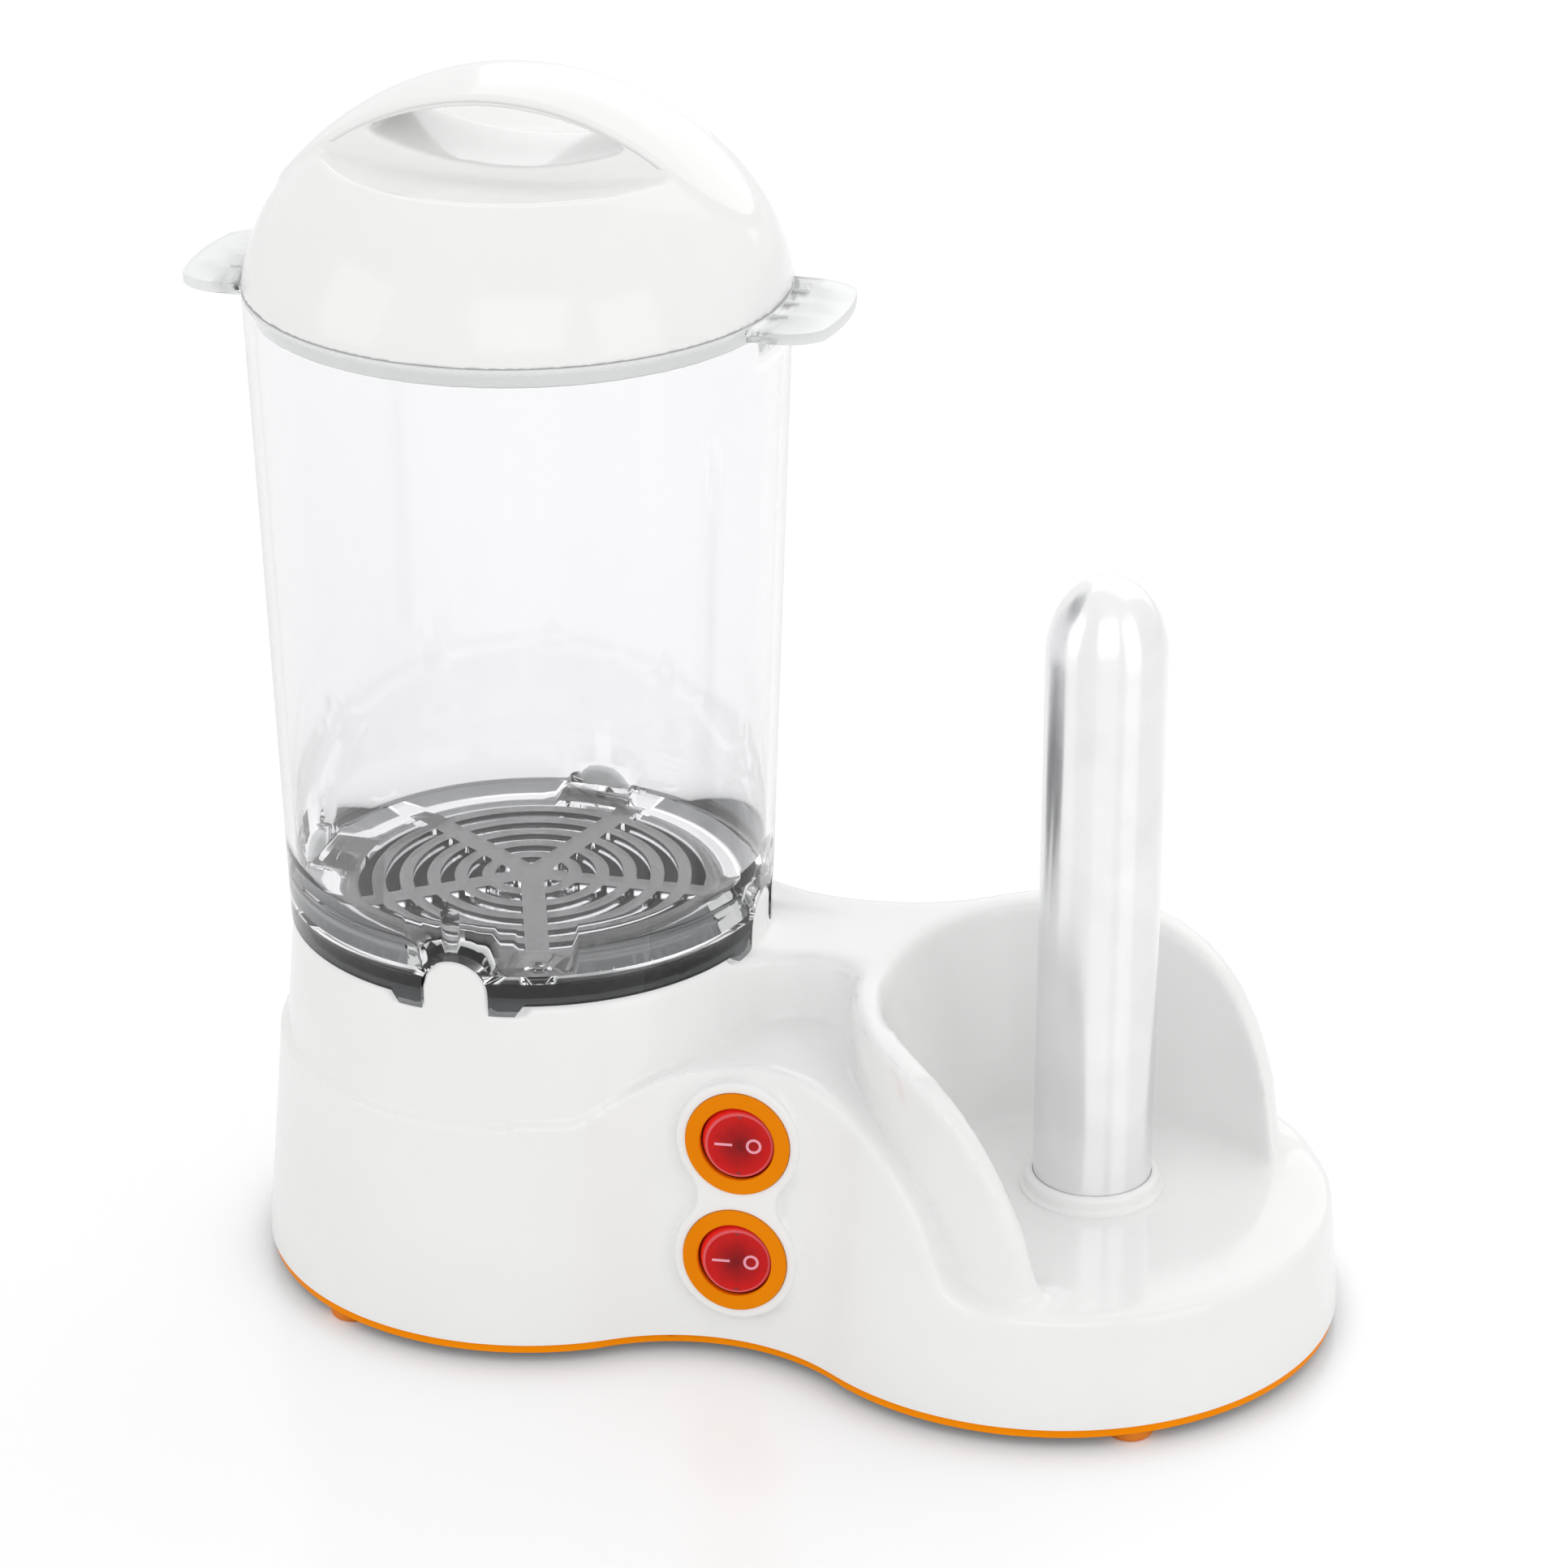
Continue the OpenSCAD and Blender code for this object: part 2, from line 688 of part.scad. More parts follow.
// The finger hole through the grip bar, two arcs that meet in a point at each end, made larger by grow.
module grip_hole(grow, w) {
    up = grip_h * 0.53;
    down = grip_h - up;
    r1 = (grip_l * grip_l / 4 + up * up) / (2 * up);
    r2 = (grip_l * grip_l / 4 + down * down) / (2 * down);
    translate([0, w / 2, grip_z])
        rotate([90, 0, 0])
        linear_extrude(w)
        intersection() {
            translate([0, up - r1]) circle(r1 + grow, $fn = 180);
            translate([0, r2 - down]) circle(r2 + grow, $fn = 180);
        }
}

// Half section of the bowl in the top of the lid, made wider by grow.
module bowl_section(grow) {
    intersection() {
        translate([0, bowl_z]) circle(bowl_r + grow, $fn = 360);
        translate([0, lid_top - 60]) square([lid_top_r, 80]);
    }
}

// Half section of the space inside the lid, with the ring that locates it in the container.
module lid_space() {
    r = con_rim_r - con_t - 2.6;
    difference() {
        dome_section(-lid_t);
        bowl_section(lid_t);
        translate([r, con_z - 1]) square([20, 4]);
    }
    translate([0, con_z - 6]) square([r, 7]);
}

module lid() {
    color(white) place() difference() {
        union() {
            rotate_extrude() {
                difference() {
                    dome_section(0);
                    bowl_section(0);
                }
                translate([0, con_z - 5]) square([con_rim_r - con_t - 0.6, 8]);
            }
            intersection() {
                dome(bar_out);
                bar_plan();
            }
        }
        rotate_extrude() lid_space();
        grip_hole(0, bar_w + 6);
        difference() {
            intersection() {
                dome(bar_out - bar_t);
                translate([-40, -bar_w / 2 + lid_t, con_z + 8]) cube([80, bar_w - 2 * lid_t, 60]);
            }
            grip_hole(lid_t, bar_w);
        }
    }
}

// Heated spike: a thin tube with a round closed tip and a flange below the platform.
module spike() {
    tip = spike_z - 1.35 * spike_r;
    color(steel) place() translate([spike_x, 0, 0])
        rotate_extrude() {
            translate([spike_r - spike_t, clamp_z]) square([spike_t, tip - clamp_z]);
            translate([spike_r - spike_t, clamp_z]) square([5, 1]);
            tip_section(tip);
        }
}

// The closed tip, two arcs that meet the tube without an edge.
module tip_section(z) {
    h = spike_z - z;
    n = 10;
    outer = [for (i = [0:n]) [spike_r * cos(90 * i / n), z + h * sin(90 * i / n)]];
    inner = [for (i = [n:-1:0])
        [(spike_r - spike_t) * cos(90 * i / n), z + (h - spike_t) * sin(90 * i / n)]];
    polygon(concat(outer, inner));
}

module spike_collar() {
    color(white) place() translate([spike_x, 0, 0]) rotate_extrude() {
        translate([spike_r + 0.1, pad_z]) square([1.7, 3.2]);
        translate([spike_r + 0.95, pad_z + 3.2]) circle(0.85);
        translate([spike_r + 0.1, pad_z - 5.2]) square([0.8, 6]);
    }
}

// Plate that clamps the spike's flange against the collar.
module spike_clamp() {
    color(steel) place() translate([spike_x, 0, clamp_z - 1.6]) difference() {
        union() {
            cylinder(r = spike_r + 7.1, h = 1.6);
            for (s = [-1, 1])
                translate([0, s * clamp_at, 0]) cylinder(r = 5, h = 1.6);
        }
        for (s = [-1, 1])
            translate([0, s * clamp_at, -1]) cylinder(r = screw_r + 0.3, h = 4);
        translate([spike_r - 5.4, 0, -1]) cylinder(r = 1.6, h = 4);
    }
}

module clamp_screws() {
    color(steel) place()
        for (s = [-1, 1])
            translate([spike_x, s * clamp_at, clamp_z - 1.6]) difference() {
                union() {
                    translate([0, 0, -1]) cylinder(r = screw_r, h = 7);
                    translate([0, 0, -1.8]) cylinder(r = 2.9, h = 1.8);
                }
                for (a = [0, 90])
                    rotate(a) translate([-1.6, -0.35, -3]) cube([3.2, 0.7, 2.1]);
            }
}

module spike_heater() {
    color([0.9, 0.88, 0.82]) place() translate([spike_x, 0, clamp_z]) {
        cylinder(r = spike_r - 2.9, h = 3);
        cylinder(r = spike_r - 7.9, h = spike_z - 1.35 * spike_r - clamp_z - 6);
    }
}

// One bezel ring, seen from the panel.
module bezel() {
    rotate_extrude() polygon([[bezel_in, 0], [bezel_r, 0], [bezel_r, 1.3],
        [bezel_r - 0.5, 1.8], [bezel_in + 0.4, 1.8], [bezel_in, 1.4]]);
}

// One rocker, drawn level about its pivot. Its round sides keep their gap to the bezel as it tilts.
module rocker() {
    top = 5.1;
    difference() {
        union() {
            rotate_extrude()
                intersection() {
                    circle(rocker_r);
                    translate([0, -2]) square([rocker_r + 1, top + 2]);
                }
            rotate([90, 0, 0]) cylinder(r = 1.2, h = 2 * (body_r - 0.4), center = true);
        }
        translate([0, 0, -3]) cylinder(r = rocker_r - 2.2, h = 4.6 + e);
    }
    translate([-rocker_r + 1, -1.9, -1.9]) cube([2 * rocker_r - 2, 3.8, 4.6]);
}

module rocker_at_rest() {
    translate([0, 0, pivot]) rotate([0, rock, 0]) rocker();
}

// Housing behind the panel, with a bore each side for the rocker's pins.
module switch_body() {
    difference() {
        union() {
            translate([0, 0, -19]) cylinder(r = body_r, h = 19);
            for (s = [0, 180])
                rotate(s) translate([body_r - 1, -2.5, -wall - 2.4]) cube([1.9, 5, 2.3]);
        }
        translate([0, 0, -10]) cylinder(r = rocker_r + 0.4, h = 11);
        translate([0, 0, pivot]) rotate([90, 0, 0]) cylinder(r = 1.2 + slip, h = 40, center = true);
    }
}

module switch_lamp() {
    translate([0, 0, -8.6]) rotate([90, 0, 0]) {
        cylinder(r = 1.4, h = 8, center = true);
        translate([-1, -1.4, -3]) cube([2, 1.4, 6]);
    }
}

module switch_blades() {
    for (x = [-6, 0, 6])
        translate([x - 0.4, -2.4, -28]) cube([0.8, 4.8, 9]);
}

module upper_bezel() {
    color(orange) place() on_panel(upper_z) bezel();
}

module upper_rocker() {
    color(red) place() on_panel(upper_z) rocker_at_rest();
}

module upper_switch_body() {
    color(black) place() on_panel(upper_z) switch_body();
}

module upper_switch_lamp() {
    color([0.95, 0.7, 0.5]) place() on_panel(upper_z) switch_lamp();
}

module upper_switch_blades() {
    color(brass) place() on_panel(upper_z) switch_blades();
}

module lower_bezel() {
    color(orange) place() on_panel(lower_z) bezel();
}

module lower_rocker() {
    color(red) place() on_panel(lower_z) rocker_at_rest();
}

module lower_switch_body() {
    color(black) place() on_panel(lower_z) switch_body();
}

module lower_switch_lamp() {
    color([0.95, 0.7, 0.5]) place() on_panel(lower_z) switch_lamp();
}

module lower_switch_blades() {
    color(brass) place() on_panel(lower_z) switch_blades();
}

module terminal_block() {
    color([0.9, 0.9, 0.86]) place() translate([block_at[0], block_at[1], shell_z]) difference() {
        translate([-block[0] / 2, -block[1] / 2, 0]) cube(block);
        for (x = [-10, 0, 10]) {
            translate([x, 0, 6]) rotate([90, 0, 0]) cylinder(r = 2.2, h = 40, center = true);
            for (y = [-4.5, 4.5])
                translate([x, y, 6]) cylinder(r = 1.8, h = 10);
        }
    }
}

// Bush in the rear panel where a mains cord would enter.
module cord_gland() {
    color(black) place() on_rear_panel(gland_z) rotate_extrude()
        polygon([[3.6, -5.6], [7.2, -5.6], [7.2, -wall - 0.1], [6, -wall - 0.1], [6, 0], [8.4, 0], [8.4, 1.6],
            [7.4, 2.6], [5.6, 6.4], [3.6, 6.4]]);
}

base_shell();
base_plate();
feet();
base_screws();
heater_dish();
dish_seal();
dish_ring();
ring_heater();
thermostat();
thermal_fuse();
container();
lid();
spike();
spike_collar();
spike_clamp();
clamp_screws();
spike_heater();
upper_bezel();
upper_rocker();
upper_switch_body();
upper_switch_lamp();
upper_switch_blades();
lower_bezel();
lower_rocker();
lower_switch_body();
lower_switch_lamp();
lower_switch_blades();
terminal_block();
cord_gland();
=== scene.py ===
"""Looks for the table steamer: soft moulded edges, clear container, polished spike, red lens rockers."""

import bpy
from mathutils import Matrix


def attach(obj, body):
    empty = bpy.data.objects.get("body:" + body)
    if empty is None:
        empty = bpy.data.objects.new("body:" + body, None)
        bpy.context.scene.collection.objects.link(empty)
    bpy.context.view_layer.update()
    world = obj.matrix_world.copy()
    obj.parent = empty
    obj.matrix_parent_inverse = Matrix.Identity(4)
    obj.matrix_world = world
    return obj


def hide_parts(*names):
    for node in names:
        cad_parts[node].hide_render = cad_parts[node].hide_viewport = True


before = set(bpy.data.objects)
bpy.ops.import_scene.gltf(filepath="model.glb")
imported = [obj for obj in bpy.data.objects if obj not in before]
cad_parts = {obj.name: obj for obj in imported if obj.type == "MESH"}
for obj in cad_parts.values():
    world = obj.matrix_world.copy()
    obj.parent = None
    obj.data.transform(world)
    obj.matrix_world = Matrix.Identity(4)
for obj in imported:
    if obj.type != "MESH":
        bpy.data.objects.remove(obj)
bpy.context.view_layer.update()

import math

import bmesh
import bpy
import numpy as np
from mathutils import Matrix, Vector

MM = 0.001

# Sizes repeated from the part's source, in millimetres from the drum's axis and the table.
AXIS_X = -59.5
AXIS_GAP = 127.6
DRUM_R = 65.4
PAD_R = 68.0
WAIST_R = 48.0
PANEL_OUT = 2.8
DRAFT = math.radians(5.0)
SHELL_Z = 5.0
PAD_Z = 32.6
DRUM_Z = 89.0
WAIST_X = (AXIS_GAP**2 + (DRUM_R + WAIST_R) ** 2 - (PAD_R + WAIST_R) ** 2) / (2 * AXIS_GAP)
WAIST_Y = math.sqrt((DRUM_R + WAIST_R) ** 2 - WAIST_X**2)
PANEL_Y = WAIST_Y - WAIST_R + PANEL_OUT
PANEL_W = 2 * math.sqrt(2 * WAIST_R * PANEL_OUT) + 5
DISH_HOLE_R = 48.4
GLAND_Z = 17.0
GLAND_HOLE_R = 6.1
FOOT_R = 5.5
FOOT_H = 2.8
FOOT_IN = 6.4
STEM_R = 2.4
STEM_TOP = 6.2

# Spike
SPIKE_X = AXIS_GAP + 9.4
SPIKE_R = 13.9
SPIKE_Z = 186.0
SPIKE_T = 0.8
FLANGE_W = 5.0
FLANGE_T = 1.0
CLAMP_Z = PAD_Z - 6.2

# Switches, heights out of the panel
SWITCH_X = WAIST_X + 2.5
UPPER_Z = 56.5
LOWER_Z = 27.5
SWITCH_HOLE_R = 11.3
BEZEL_R = 12.4
BEZEL_H = 1.8
ROCKER_R = 9.2
ROCKER_TOP = 5.1
ROCK = math.radians(8.0)
PIVOT = -3.0
PIN_R = 1.2
PIN_OUT = BEZEL_R - 1.6
SWITCH_GAP = 0.12
BEZEL_IN = math.sqrt(ROCKER_R**2 - PIVOT**2) + SWITCH_GAP
SURROUND_R = BEZEL_R + 2.4
SURROUND_NECK = SURROUND_R - 5.3
SURROUND_TOP = 1.12
SURROUND_FOOT = -4.0
SURROUND_ROLL = 0.9

# Container and lid
CON_RIM_R = DRUM_R - 8.4 + 5.0
CON_Z = 243.4
CON_FLOOR_Z = 94.0
LID_R = CON_RIM_R + 0.3
LID_TOP_R = LID_R + 5.7
LID_TOP = CON_Z + 47.0
LID_SIDE = CON_Z - 5.4
BAR_W = 29.0
BAR_L = 2 * (CON_RIM_R - 6.5)
BAR_OUT = 0.7
BAR_SINK = -0.9


# Colours and nodes

def linear(code):
    """A six-digit sRGB colour as linear values with full alpha."""
    parts = [int(code[i:i + 2], 16) / 255 for i in (1, 3, 5)]
    return [p / 12.92 if p <= 0.04045 else ((p + 0.055) / 1.055) ** 2.4 for p in parts] + [1.0]


def add(tree, kind, inputs=None, **settings):
    """Adds a node with its settings; each input is a value, a socket, or a node for its first output."""
    node = tree.nodes.new(kind)
    for name, value in settings.items():
        setattr(node, name, value)
    for name, value in (inputs or {}).items():
        if isinstance(value, bpy.types.Node):
            value = value.outputs[0]
        if isinstance(value, bpy.types.NodeSocket):
            tree.links.new(value, node.inputs[name])
        else:
            node.inputs[name].default_value = value
    return node


def blank(name):
    """A new material with an empty node tree and the point on the piece, in metres."""
    material = bpy.data.materials.new(name)
    material.use_nodes = True
    tree = material.node_tree
    tree.nodes.clear()
    place = add(tree, "ShaderNodeTexCoord").outputs["Object"]
    return material, tree, place


def waves(size_mm, detail):
    """Noise settings for waves about size_mm long."""
    return {"Scale": 1000.0 / size_mm, "Detail": detail, "Roughness": 0.55}


def mid(low, high):
    """Range settings that spread the part where noise mostly lies from low to high."""
    return {"From Min": 0.3, "From Max": 0.7, "To Min": low, "To Max": high}


# Materials

def moulded_abs(name, dark, light, gloss, shine, coat, thrown=None):
    """Injection moulded ABS: an even colour under a gloss, with the faint ripple of a polished mould.

    Where thrown is given, it is the colour that the plastic throws onto its neighbours."""
    material, tree, place = blank(name)
    cloud = add(tree, "ShaderNodeTexNoise", {"Vector": place, **waves(45.0, 3.0)})
    rub = add(tree, "ShaderNodeTexNoise", {"Vector": place, **waves(9.0, 4.0)})
    ripple = add(tree, "ShaderNodeTexNoise", {"Vector": place, **waves(1.6, 2.0)})
    share = add(tree, "ShaderNodeMapRange", {"Value": cloud, **mid(0.0, 1.0)})
    own = add(tree, "ShaderNodeMix", {0: share, 6: linear(dark), 7: linear(light)}, data_type="RGBA")
    bounced = add(tree, "ShaderNodeLightPath").outputs["Is Diffuse Ray"]
    colour = add(tree, "ShaderNodeMix", {0: bounced, 6: own.outputs[2], 7: linear(thrown or light)},
                 data_type="RGBA")
    rough = add(tree, "ShaderNodeMapRange", {"Value": rub, **mid(gloss - 0.03, gloss + 0.04)})
    bumps = add(tree, "ShaderNodeBump", {"Height": ripple, "Distance": 0.01 * MM, "Strength": 0.25})
    shader = add(tree, "ShaderNodeBsdfPrincipled", {
        "Base Color": colour.outputs[2],
        "Roughness": rough,
        "Normal": bumps,
        "IOR": 1.53,
        "Specular IOR Level": shine,
        "Coat Weight": coat,
        "Coat Roughness": 0.05,
    })
    add(tree, "ShaderNodeOutputMaterial", {"Surface": shader})
    return material


def let_light_pass(tree, body):
    """Ends a clear material: shadow and bounced rays pass it, so that what stands behind it is lit."""
    path = add(tree, "ShaderNodeLightPath")
    lit = add(tree, "ShaderNodeMath", {0: path.outputs["Is Shadow Ray"], 1: path.outputs["Is Diffuse Ray"]},
              operation="MAXIMUM")
    passed = add(tree, "ShaderNodeBsdfTransparent", {"Color": linear("#F4F5F5")})
    both = add(tree, "ShaderNodeMixShader", {0: lit, 1: body, 2: passed})
    add(tree, "ShaderNodeOutputMaterial", {"Surface": both})


def clear_san():
    """Moulded clear SAN: polished walls with faint flow lines, satin ears and rim.

    Below the floor the skirt is painted darker: painted shade that stands in for the dark coated dish seen
    through it."""
    material, tree, place = blank("clear moulded SAN")
    spots = add(tree, "ShaderNodeTexNoise", {"Vector": place, **waves(26.0, 5.0)})
    haze = add(tree, "ShaderNodeMapRange",
               {"Value": spots, "From Min": 0.5, "From Max": 0.78, "To Min": 0.0, "To Max": 0.04})
    drawn = add(tree, "ShaderNodeMapping", {"Vector": place, "Scale": (1.0, 1.0, 0.06)})
    flow = add(tree, "ShaderNodeTexNoise", {"Vector": drawn, **waves(5.0, 3.0)})
    height = add(tree, "ShaderNodeSeparateXYZ", {"Vector": place}).outputs["Z"]
    rim = add(tree, "ShaderNodeMapRange",
              {"Value": height, "From Min": (CON_Z - 1.6) * MM, "From Max": (CON_Z - 0.5) * MM,
               "To Min": 0.0, "To Max": 0.8})
    ears = add(tree, "ShaderNodeAttribute", attribute_name="satin").outputs["Fac"]
    satin = add(tree, "ShaderNodeMath", {0: ears, 1: rim}, operation="MAXIMUM")
    rough = add(tree, "ShaderNodeMath", {0: satin, 1: 0.35, 2: haze}, operation="MULTIPLY_ADD")
    # Painted shade: below the floor the colour goes over to dark grey, standing in for the dark dish seen
    # through the clear skirt.
    low = add(tree, "ShaderNodeMapRange",
              {"Value": height, "From Min": (CON_FLOOR_Z + 0.1) * MM, "From Max": (CON_FLOOR_Z + 0.7) * MM,
               "To Min": 1.0, "To Max": 0.0})
    colour = add(tree, "ShaderNodeMix", {0: low, 6: linear("#F6F6F7"), 7: linear("#555659")},
                 data_type="RGBA")
    bumps = add(tree, "ShaderNodeBump", {"Height": flow, "Distance": 0.004 * MM, "Strength": 0.1})
    clear = add(tree, "ShaderNodeBsdfPrincipled", {
        "Base Color": colour.outputs[2],
        "Roughness": rough,
        "Normal": bumps,
        "IOR": 1.5,
        "Transmission Weight": 1.0,
    })
    milk = add(tree, "ShaderNodeBsdfPrincipled", {"Base Color": linear("#F3F4F4"), "Roughness": rough})
    share = add(tree, "ShaderNodeMath", {0: satin, 1: 0.6}, operation="MULTIPLY")
    let_light_pass(tree, add(tree, "ShaderNodeMixShader", {0: share, 1: clear, 2: milk}))
    return material


def lamp_glass():
    """Drawn glass of a neon lamp: clear, with faint haze and flow lines along it."""
    material, tree, place = blank("neon lamp glass")
    spots = add(tree, "ShaderNodeTexNoise", {"Vector": place, **waves(26.0, 5.0)})
    haze = add(tree, "ShaderNodeMapRange",
               {"Value": spots, "From Min": 0.5, "From Max": 0.78, "To Min": 0.0, "To Max": 0.04})
    drawn = add(tree, "ShaderNodeMapping", {"Vector": place, "Scale": (1.0, 1.0, 0.06)})
    flow = add(tree, "ShaderNodeTexNoise", {"Vector": drawn, **waves(5.0, 3.0)})
    bumps = add(tree, "ShaderNodeBump", {"Height": flow, "Distance": 0.004 * MM, "Strength": 0.1})
    let_light_pass(tree, add(tree, "ShaderNodeBsdfPrincipled", {
        "Base Color": linear("#F6F6F7"),
        "Roughness": haze,
        "Normal": bumps,
        "IOR": 1.5,
        "Transmission Weight": 1.0,
    }))
    return material


def tinted_polycarbonate():
    """Red lens plastic with painted light: lighter towards the rim and darker over the lamp, a painted glow
    down the sides, and a painted highlight along the edge.
    """
    material, tree, place = blank("red lens polycarbonate")
    radius = add(tree, "ShaderNodeAttribute", attribute_name="lens_radius").outputs["Fac"]
    depth = add(tree, "ShaderNodeAttribute", attribute_name="lens_depth").outputs["Fac"]
    mottle = add(tree, "ShaderNodeTexNoise", {"Vector": place, **waves(2.5, 3.0)})
    rub = add(tree, "ShaderNodeTexNoise", {"Vector": place, **waves(2.0, 3.0)})
    cloud = add(tree, "ShaderNodeMapRange", {"Value": mottle, **mid(-0.12, 0.12)})
    # Painted light: the face goes from deep red in the middle, over the lamp, to bright red towards the rim,
    # with a random mottle.
    reach = add(tree, "ShaderNodeMapRange", {"Value": radius, "From Min": 0.5, "From Max": 6.6})
    glow = add(tree, "ShaderNodeMath", {0: reach, 1: cloud}, operation="ADD")
    face = add(tree, "ShaderNodeMix", {0: glow, 6: linear("#7E1014"), 7: linear("#C81414")}, data_type="RGBA")
    # Painted highlight: a pale pink line along the rolled edge of the lens.
    ring = add(tree, "ShaderNodeMapRange",
               {"Value": radius, "From Min": 7.2, "From Max": 7.5, "To Min": 0.0, "To Max": 0.45})
    edge = add(tree, "ShaderNodeMix", {0: ring, 6: face.outputs[2], 7: linear("#F0868E")}, data_type="RGBA")
    # Painted glow: the sides, below the top face, turn a brighter red.
    down = add(tree, "ShaderNodeMapRange", {"Value": depth, "From Min": 0.15, "From Max": 0.7})
    tone = add(tree, "ShaderNodeMix", {0: down, 6: edge.outputs[2], 7: linear("#EC2A24")}, data_type="RGBA")
    shader = add(tree, "ShaderNodeBsdfPrincipled", {
        "Base Color": tone.outputs[2],
        "Roughness": add(tree, "ShaderNodeMapRange", {"Value": rub, **mid(0.1, 0.18)}),
        "IOR": 1.58,
        "Specular IOR Level": 0.12,
    })
    add(tree, "ShaderNodeOutputMaterial", {"Surface": shader})
    return material


def turned_aluminium():
    """Turned and polished tube: fine lines run round it, so that what it mirrors is drawn out up and down."""
    material, tree, place = blank("turned polished aluminium")
    drawn = add(tree, "ShaderNodeMapping", {"Vector": place, "Scale": (0.02, 0.02, 1.0)})
    lines = add(tree, "ShaderNodeTexNoise", {"Vector": drawn, **waves(0.8, 3.0)})
    rub = add(tree, "ShaderNodeTexNoise", {"Vector": place, **waves(14.0, 4.0)})
    share = add(tree, "ShaderNodeMapRange", {"Value": rub, **mid(0.0, 1.0)})
    colour = add(tree, "ShaderNodeMix", {0: share, 6: linear("#ECECED"), 7: linear("#F4F4F5")},
                 data_type="RGBA")
    shader = add(tree, "ShaderNodeBsdfPrincipled", {
        "Base Color": colour.outputs[2],
        "Roughness": add(tree, "ShaderNodeMapRange", {"Value": rub, **mid(0.2, 0.23)}),
        "Normal": add(tree, "ShaderNodeBump", {"Height": lines, "Distance": 0.001 * MM, "Strength": 0.1}),
        "Tangent": add(tree, "ShaderNodeTangent", direction_type="RADIAL", axis="Z"),
        "Metallic": 1.0,
        "Anisotropic": 0.8,
        "Anisotropic Rotation": 0.25,
    })
    add(tree, "ShaderNodeOutputMaterial", {"Surface": shader})
    return material


def sheet_metal(name, dark, light, rough, line_mm):
    """Rolled or turned metal with short directional scratches."""
    material, tree, place = blank(name)
    drawn = add(tree, "ShaderNodeMapping", {"Vector": place, "Scale": (1.0, 0.08, 1.0)})
    lines = add(tree, "ShaderNodeTexNoise", {"Vector": drawn, **waves(line_mm, 4.0)})
    colour = add(tree, "ShaderNodeMix", {0: lines, 6: linear(dark), 7: linear(light)}, data_type="RGBA")
    shader = add(tree, "ShaderNodeBsdfPrincipled", {
        "Base Color": colour.outputs[2],
        "Roughness": add(tree, "ShaderNodeMapRange", {"Value": lines, **mid(rough - 0.08, rough + 0.1)}),
        "Normal": add(tree, "ShaderNodeBump", {"Height": lines, "Distance": 0.01 * MM, "Strength": 0.3}),
        "Metallic": 1.0,
    })
    add(tree, "ShaderNodeOutputMaterial", {"Surface": shader})
    return material


def dull(name, dark, light, rough, grain_mm, depth_mm):
    """Unpolished surface with an even grain: rubber, fired clay, spark-eroded mouldings, sprayed coating."""
    material, tree, place = blank(name)
    fine = add(tree, "ShaderNodeTexNoise", {"Vector": place, **waves(grain_mm, 4.0)})
    cloud = add(tree, "ShaderNodeTexNoise", {"Vector": place, **waves(grain_mm * 18.0, 3.0)})
    colour = add(tree, "ShaderNodeMix", {0: cloud, 6: linear(dark), 7: linear(light)}, data_type="RGBA")
    shader = add(tree, "ShaderNodeBsdfPrincipled", {
        "Base Color": colour.outputs[2],
        "Roughness": add(tree, "ShaderNodeMapRange", {"Value": fine, **mid(rough - 0.08, rough + 0.08)}),
        "Normal": add(tree, "ShaderNodeBump", {"Height": fine, "Distance": depth_mm * MM, "Strength": 0.5}),
        "IOR": 1.5,
    })
    add(tree, "ShaderNodeOutputMaterial", {"Surface": shader})
    return material


WHITE = moulded_abs("white moulded ABS", "#EBEBEA", "#EFEFEE", 0.13, 0.5, 0.15, "#F9F9F9")
ORANGE = moulded_abs("orange moulded ABS", "#E47F00", "#E98500", 0.34, 0.05, 0.0)
ORANGE_PLATE = moulded_abs("orange moulded base ABS", "#F68A00", "#FB9000", 0.34, 0.05, 0.0, "#3A3836")
CLEAR = clear_san()
RED = tinted_polycarbonate()
BRIGHT = turned_aluminium()
COATED = dull("dark non-stick coating", "#1B1B1C", "#262628", 0.36, 0.7, 0.02)
ORANGE_RUBBER = dull("orange foot rubber", "#D97400", "#E27E00", 0.62, 0.6, 0.03)
BLACK = dull("black spark-eroded nylon", "#161617", "#222224", 0.5, 0.5, 0.02)
SILICONE = dull("pale silicone", "#CFCFC8", "#DAD9D2", 0.55, 0.8, 0.02)
CERAMIC = dull("unglazed ceramic", "#DDD8CC", "#E6E1D6", 0.75, 0.5, 0.03)
BLOCK = dull("ivory urea moulding", "#DCDBD2", "#E5E4DC", 0.42, 0.6, 0.02)
PAINT = dull("pale pink marking ink", "#E695A8", "#EEA5B5", 0.5, 0.4, 0.005)
PIP = dull("dark red moulded nub", "#86131A", "#94161D", 0.4, 0.5, 0.005)
STEEL = sheet_metal("zinc plated steel", "#A9ABAD", "#C7C9CB", 0.32, 0.7)
ALLOY = sheet_metal("cast heater aluminium", "#A5A6A8", "#BBBCBE", 0.42, 1.1)
BRASS = sheet_metal("stamped brass", "#B58E45", "#CBA75C", 0.3, 0.8)
LAMP = lamp_glass()


# Meshes

def piece(name, mesh, body, slot, *nodes):
    """Adds a finished mesh to the scene, rides it on a body and hides the nodes it stands for."""
    made = bpy.data.objects.new(name, mesh)
    bpy.context.scene.collection.objects.link(made)
    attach(made, body)
    if nodes:
        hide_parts(*nodes)


def welded(node):
    """A node's mesh as one bmesh with its loose triangles joined."""
    bm = bmesh.new()
    bm.from_mesh(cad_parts[node].data)
    bmesh.ops.remove_doubles(bm, verts=bm.verts, dist=2e-6)
    return bm


def dress(mesh, material):
    """Gives a mesh one material and smooth faces."""
    mesh.materials.clear()
    mesh.materials.append(material)
    mesh.polygons.foreach_set("material_index", [0] * len(mesh.polygons))
    mesh.polygons.foreach_set("use_smooth", [True] * len(mesh.polygons))
    mesh.update()
    return mesh


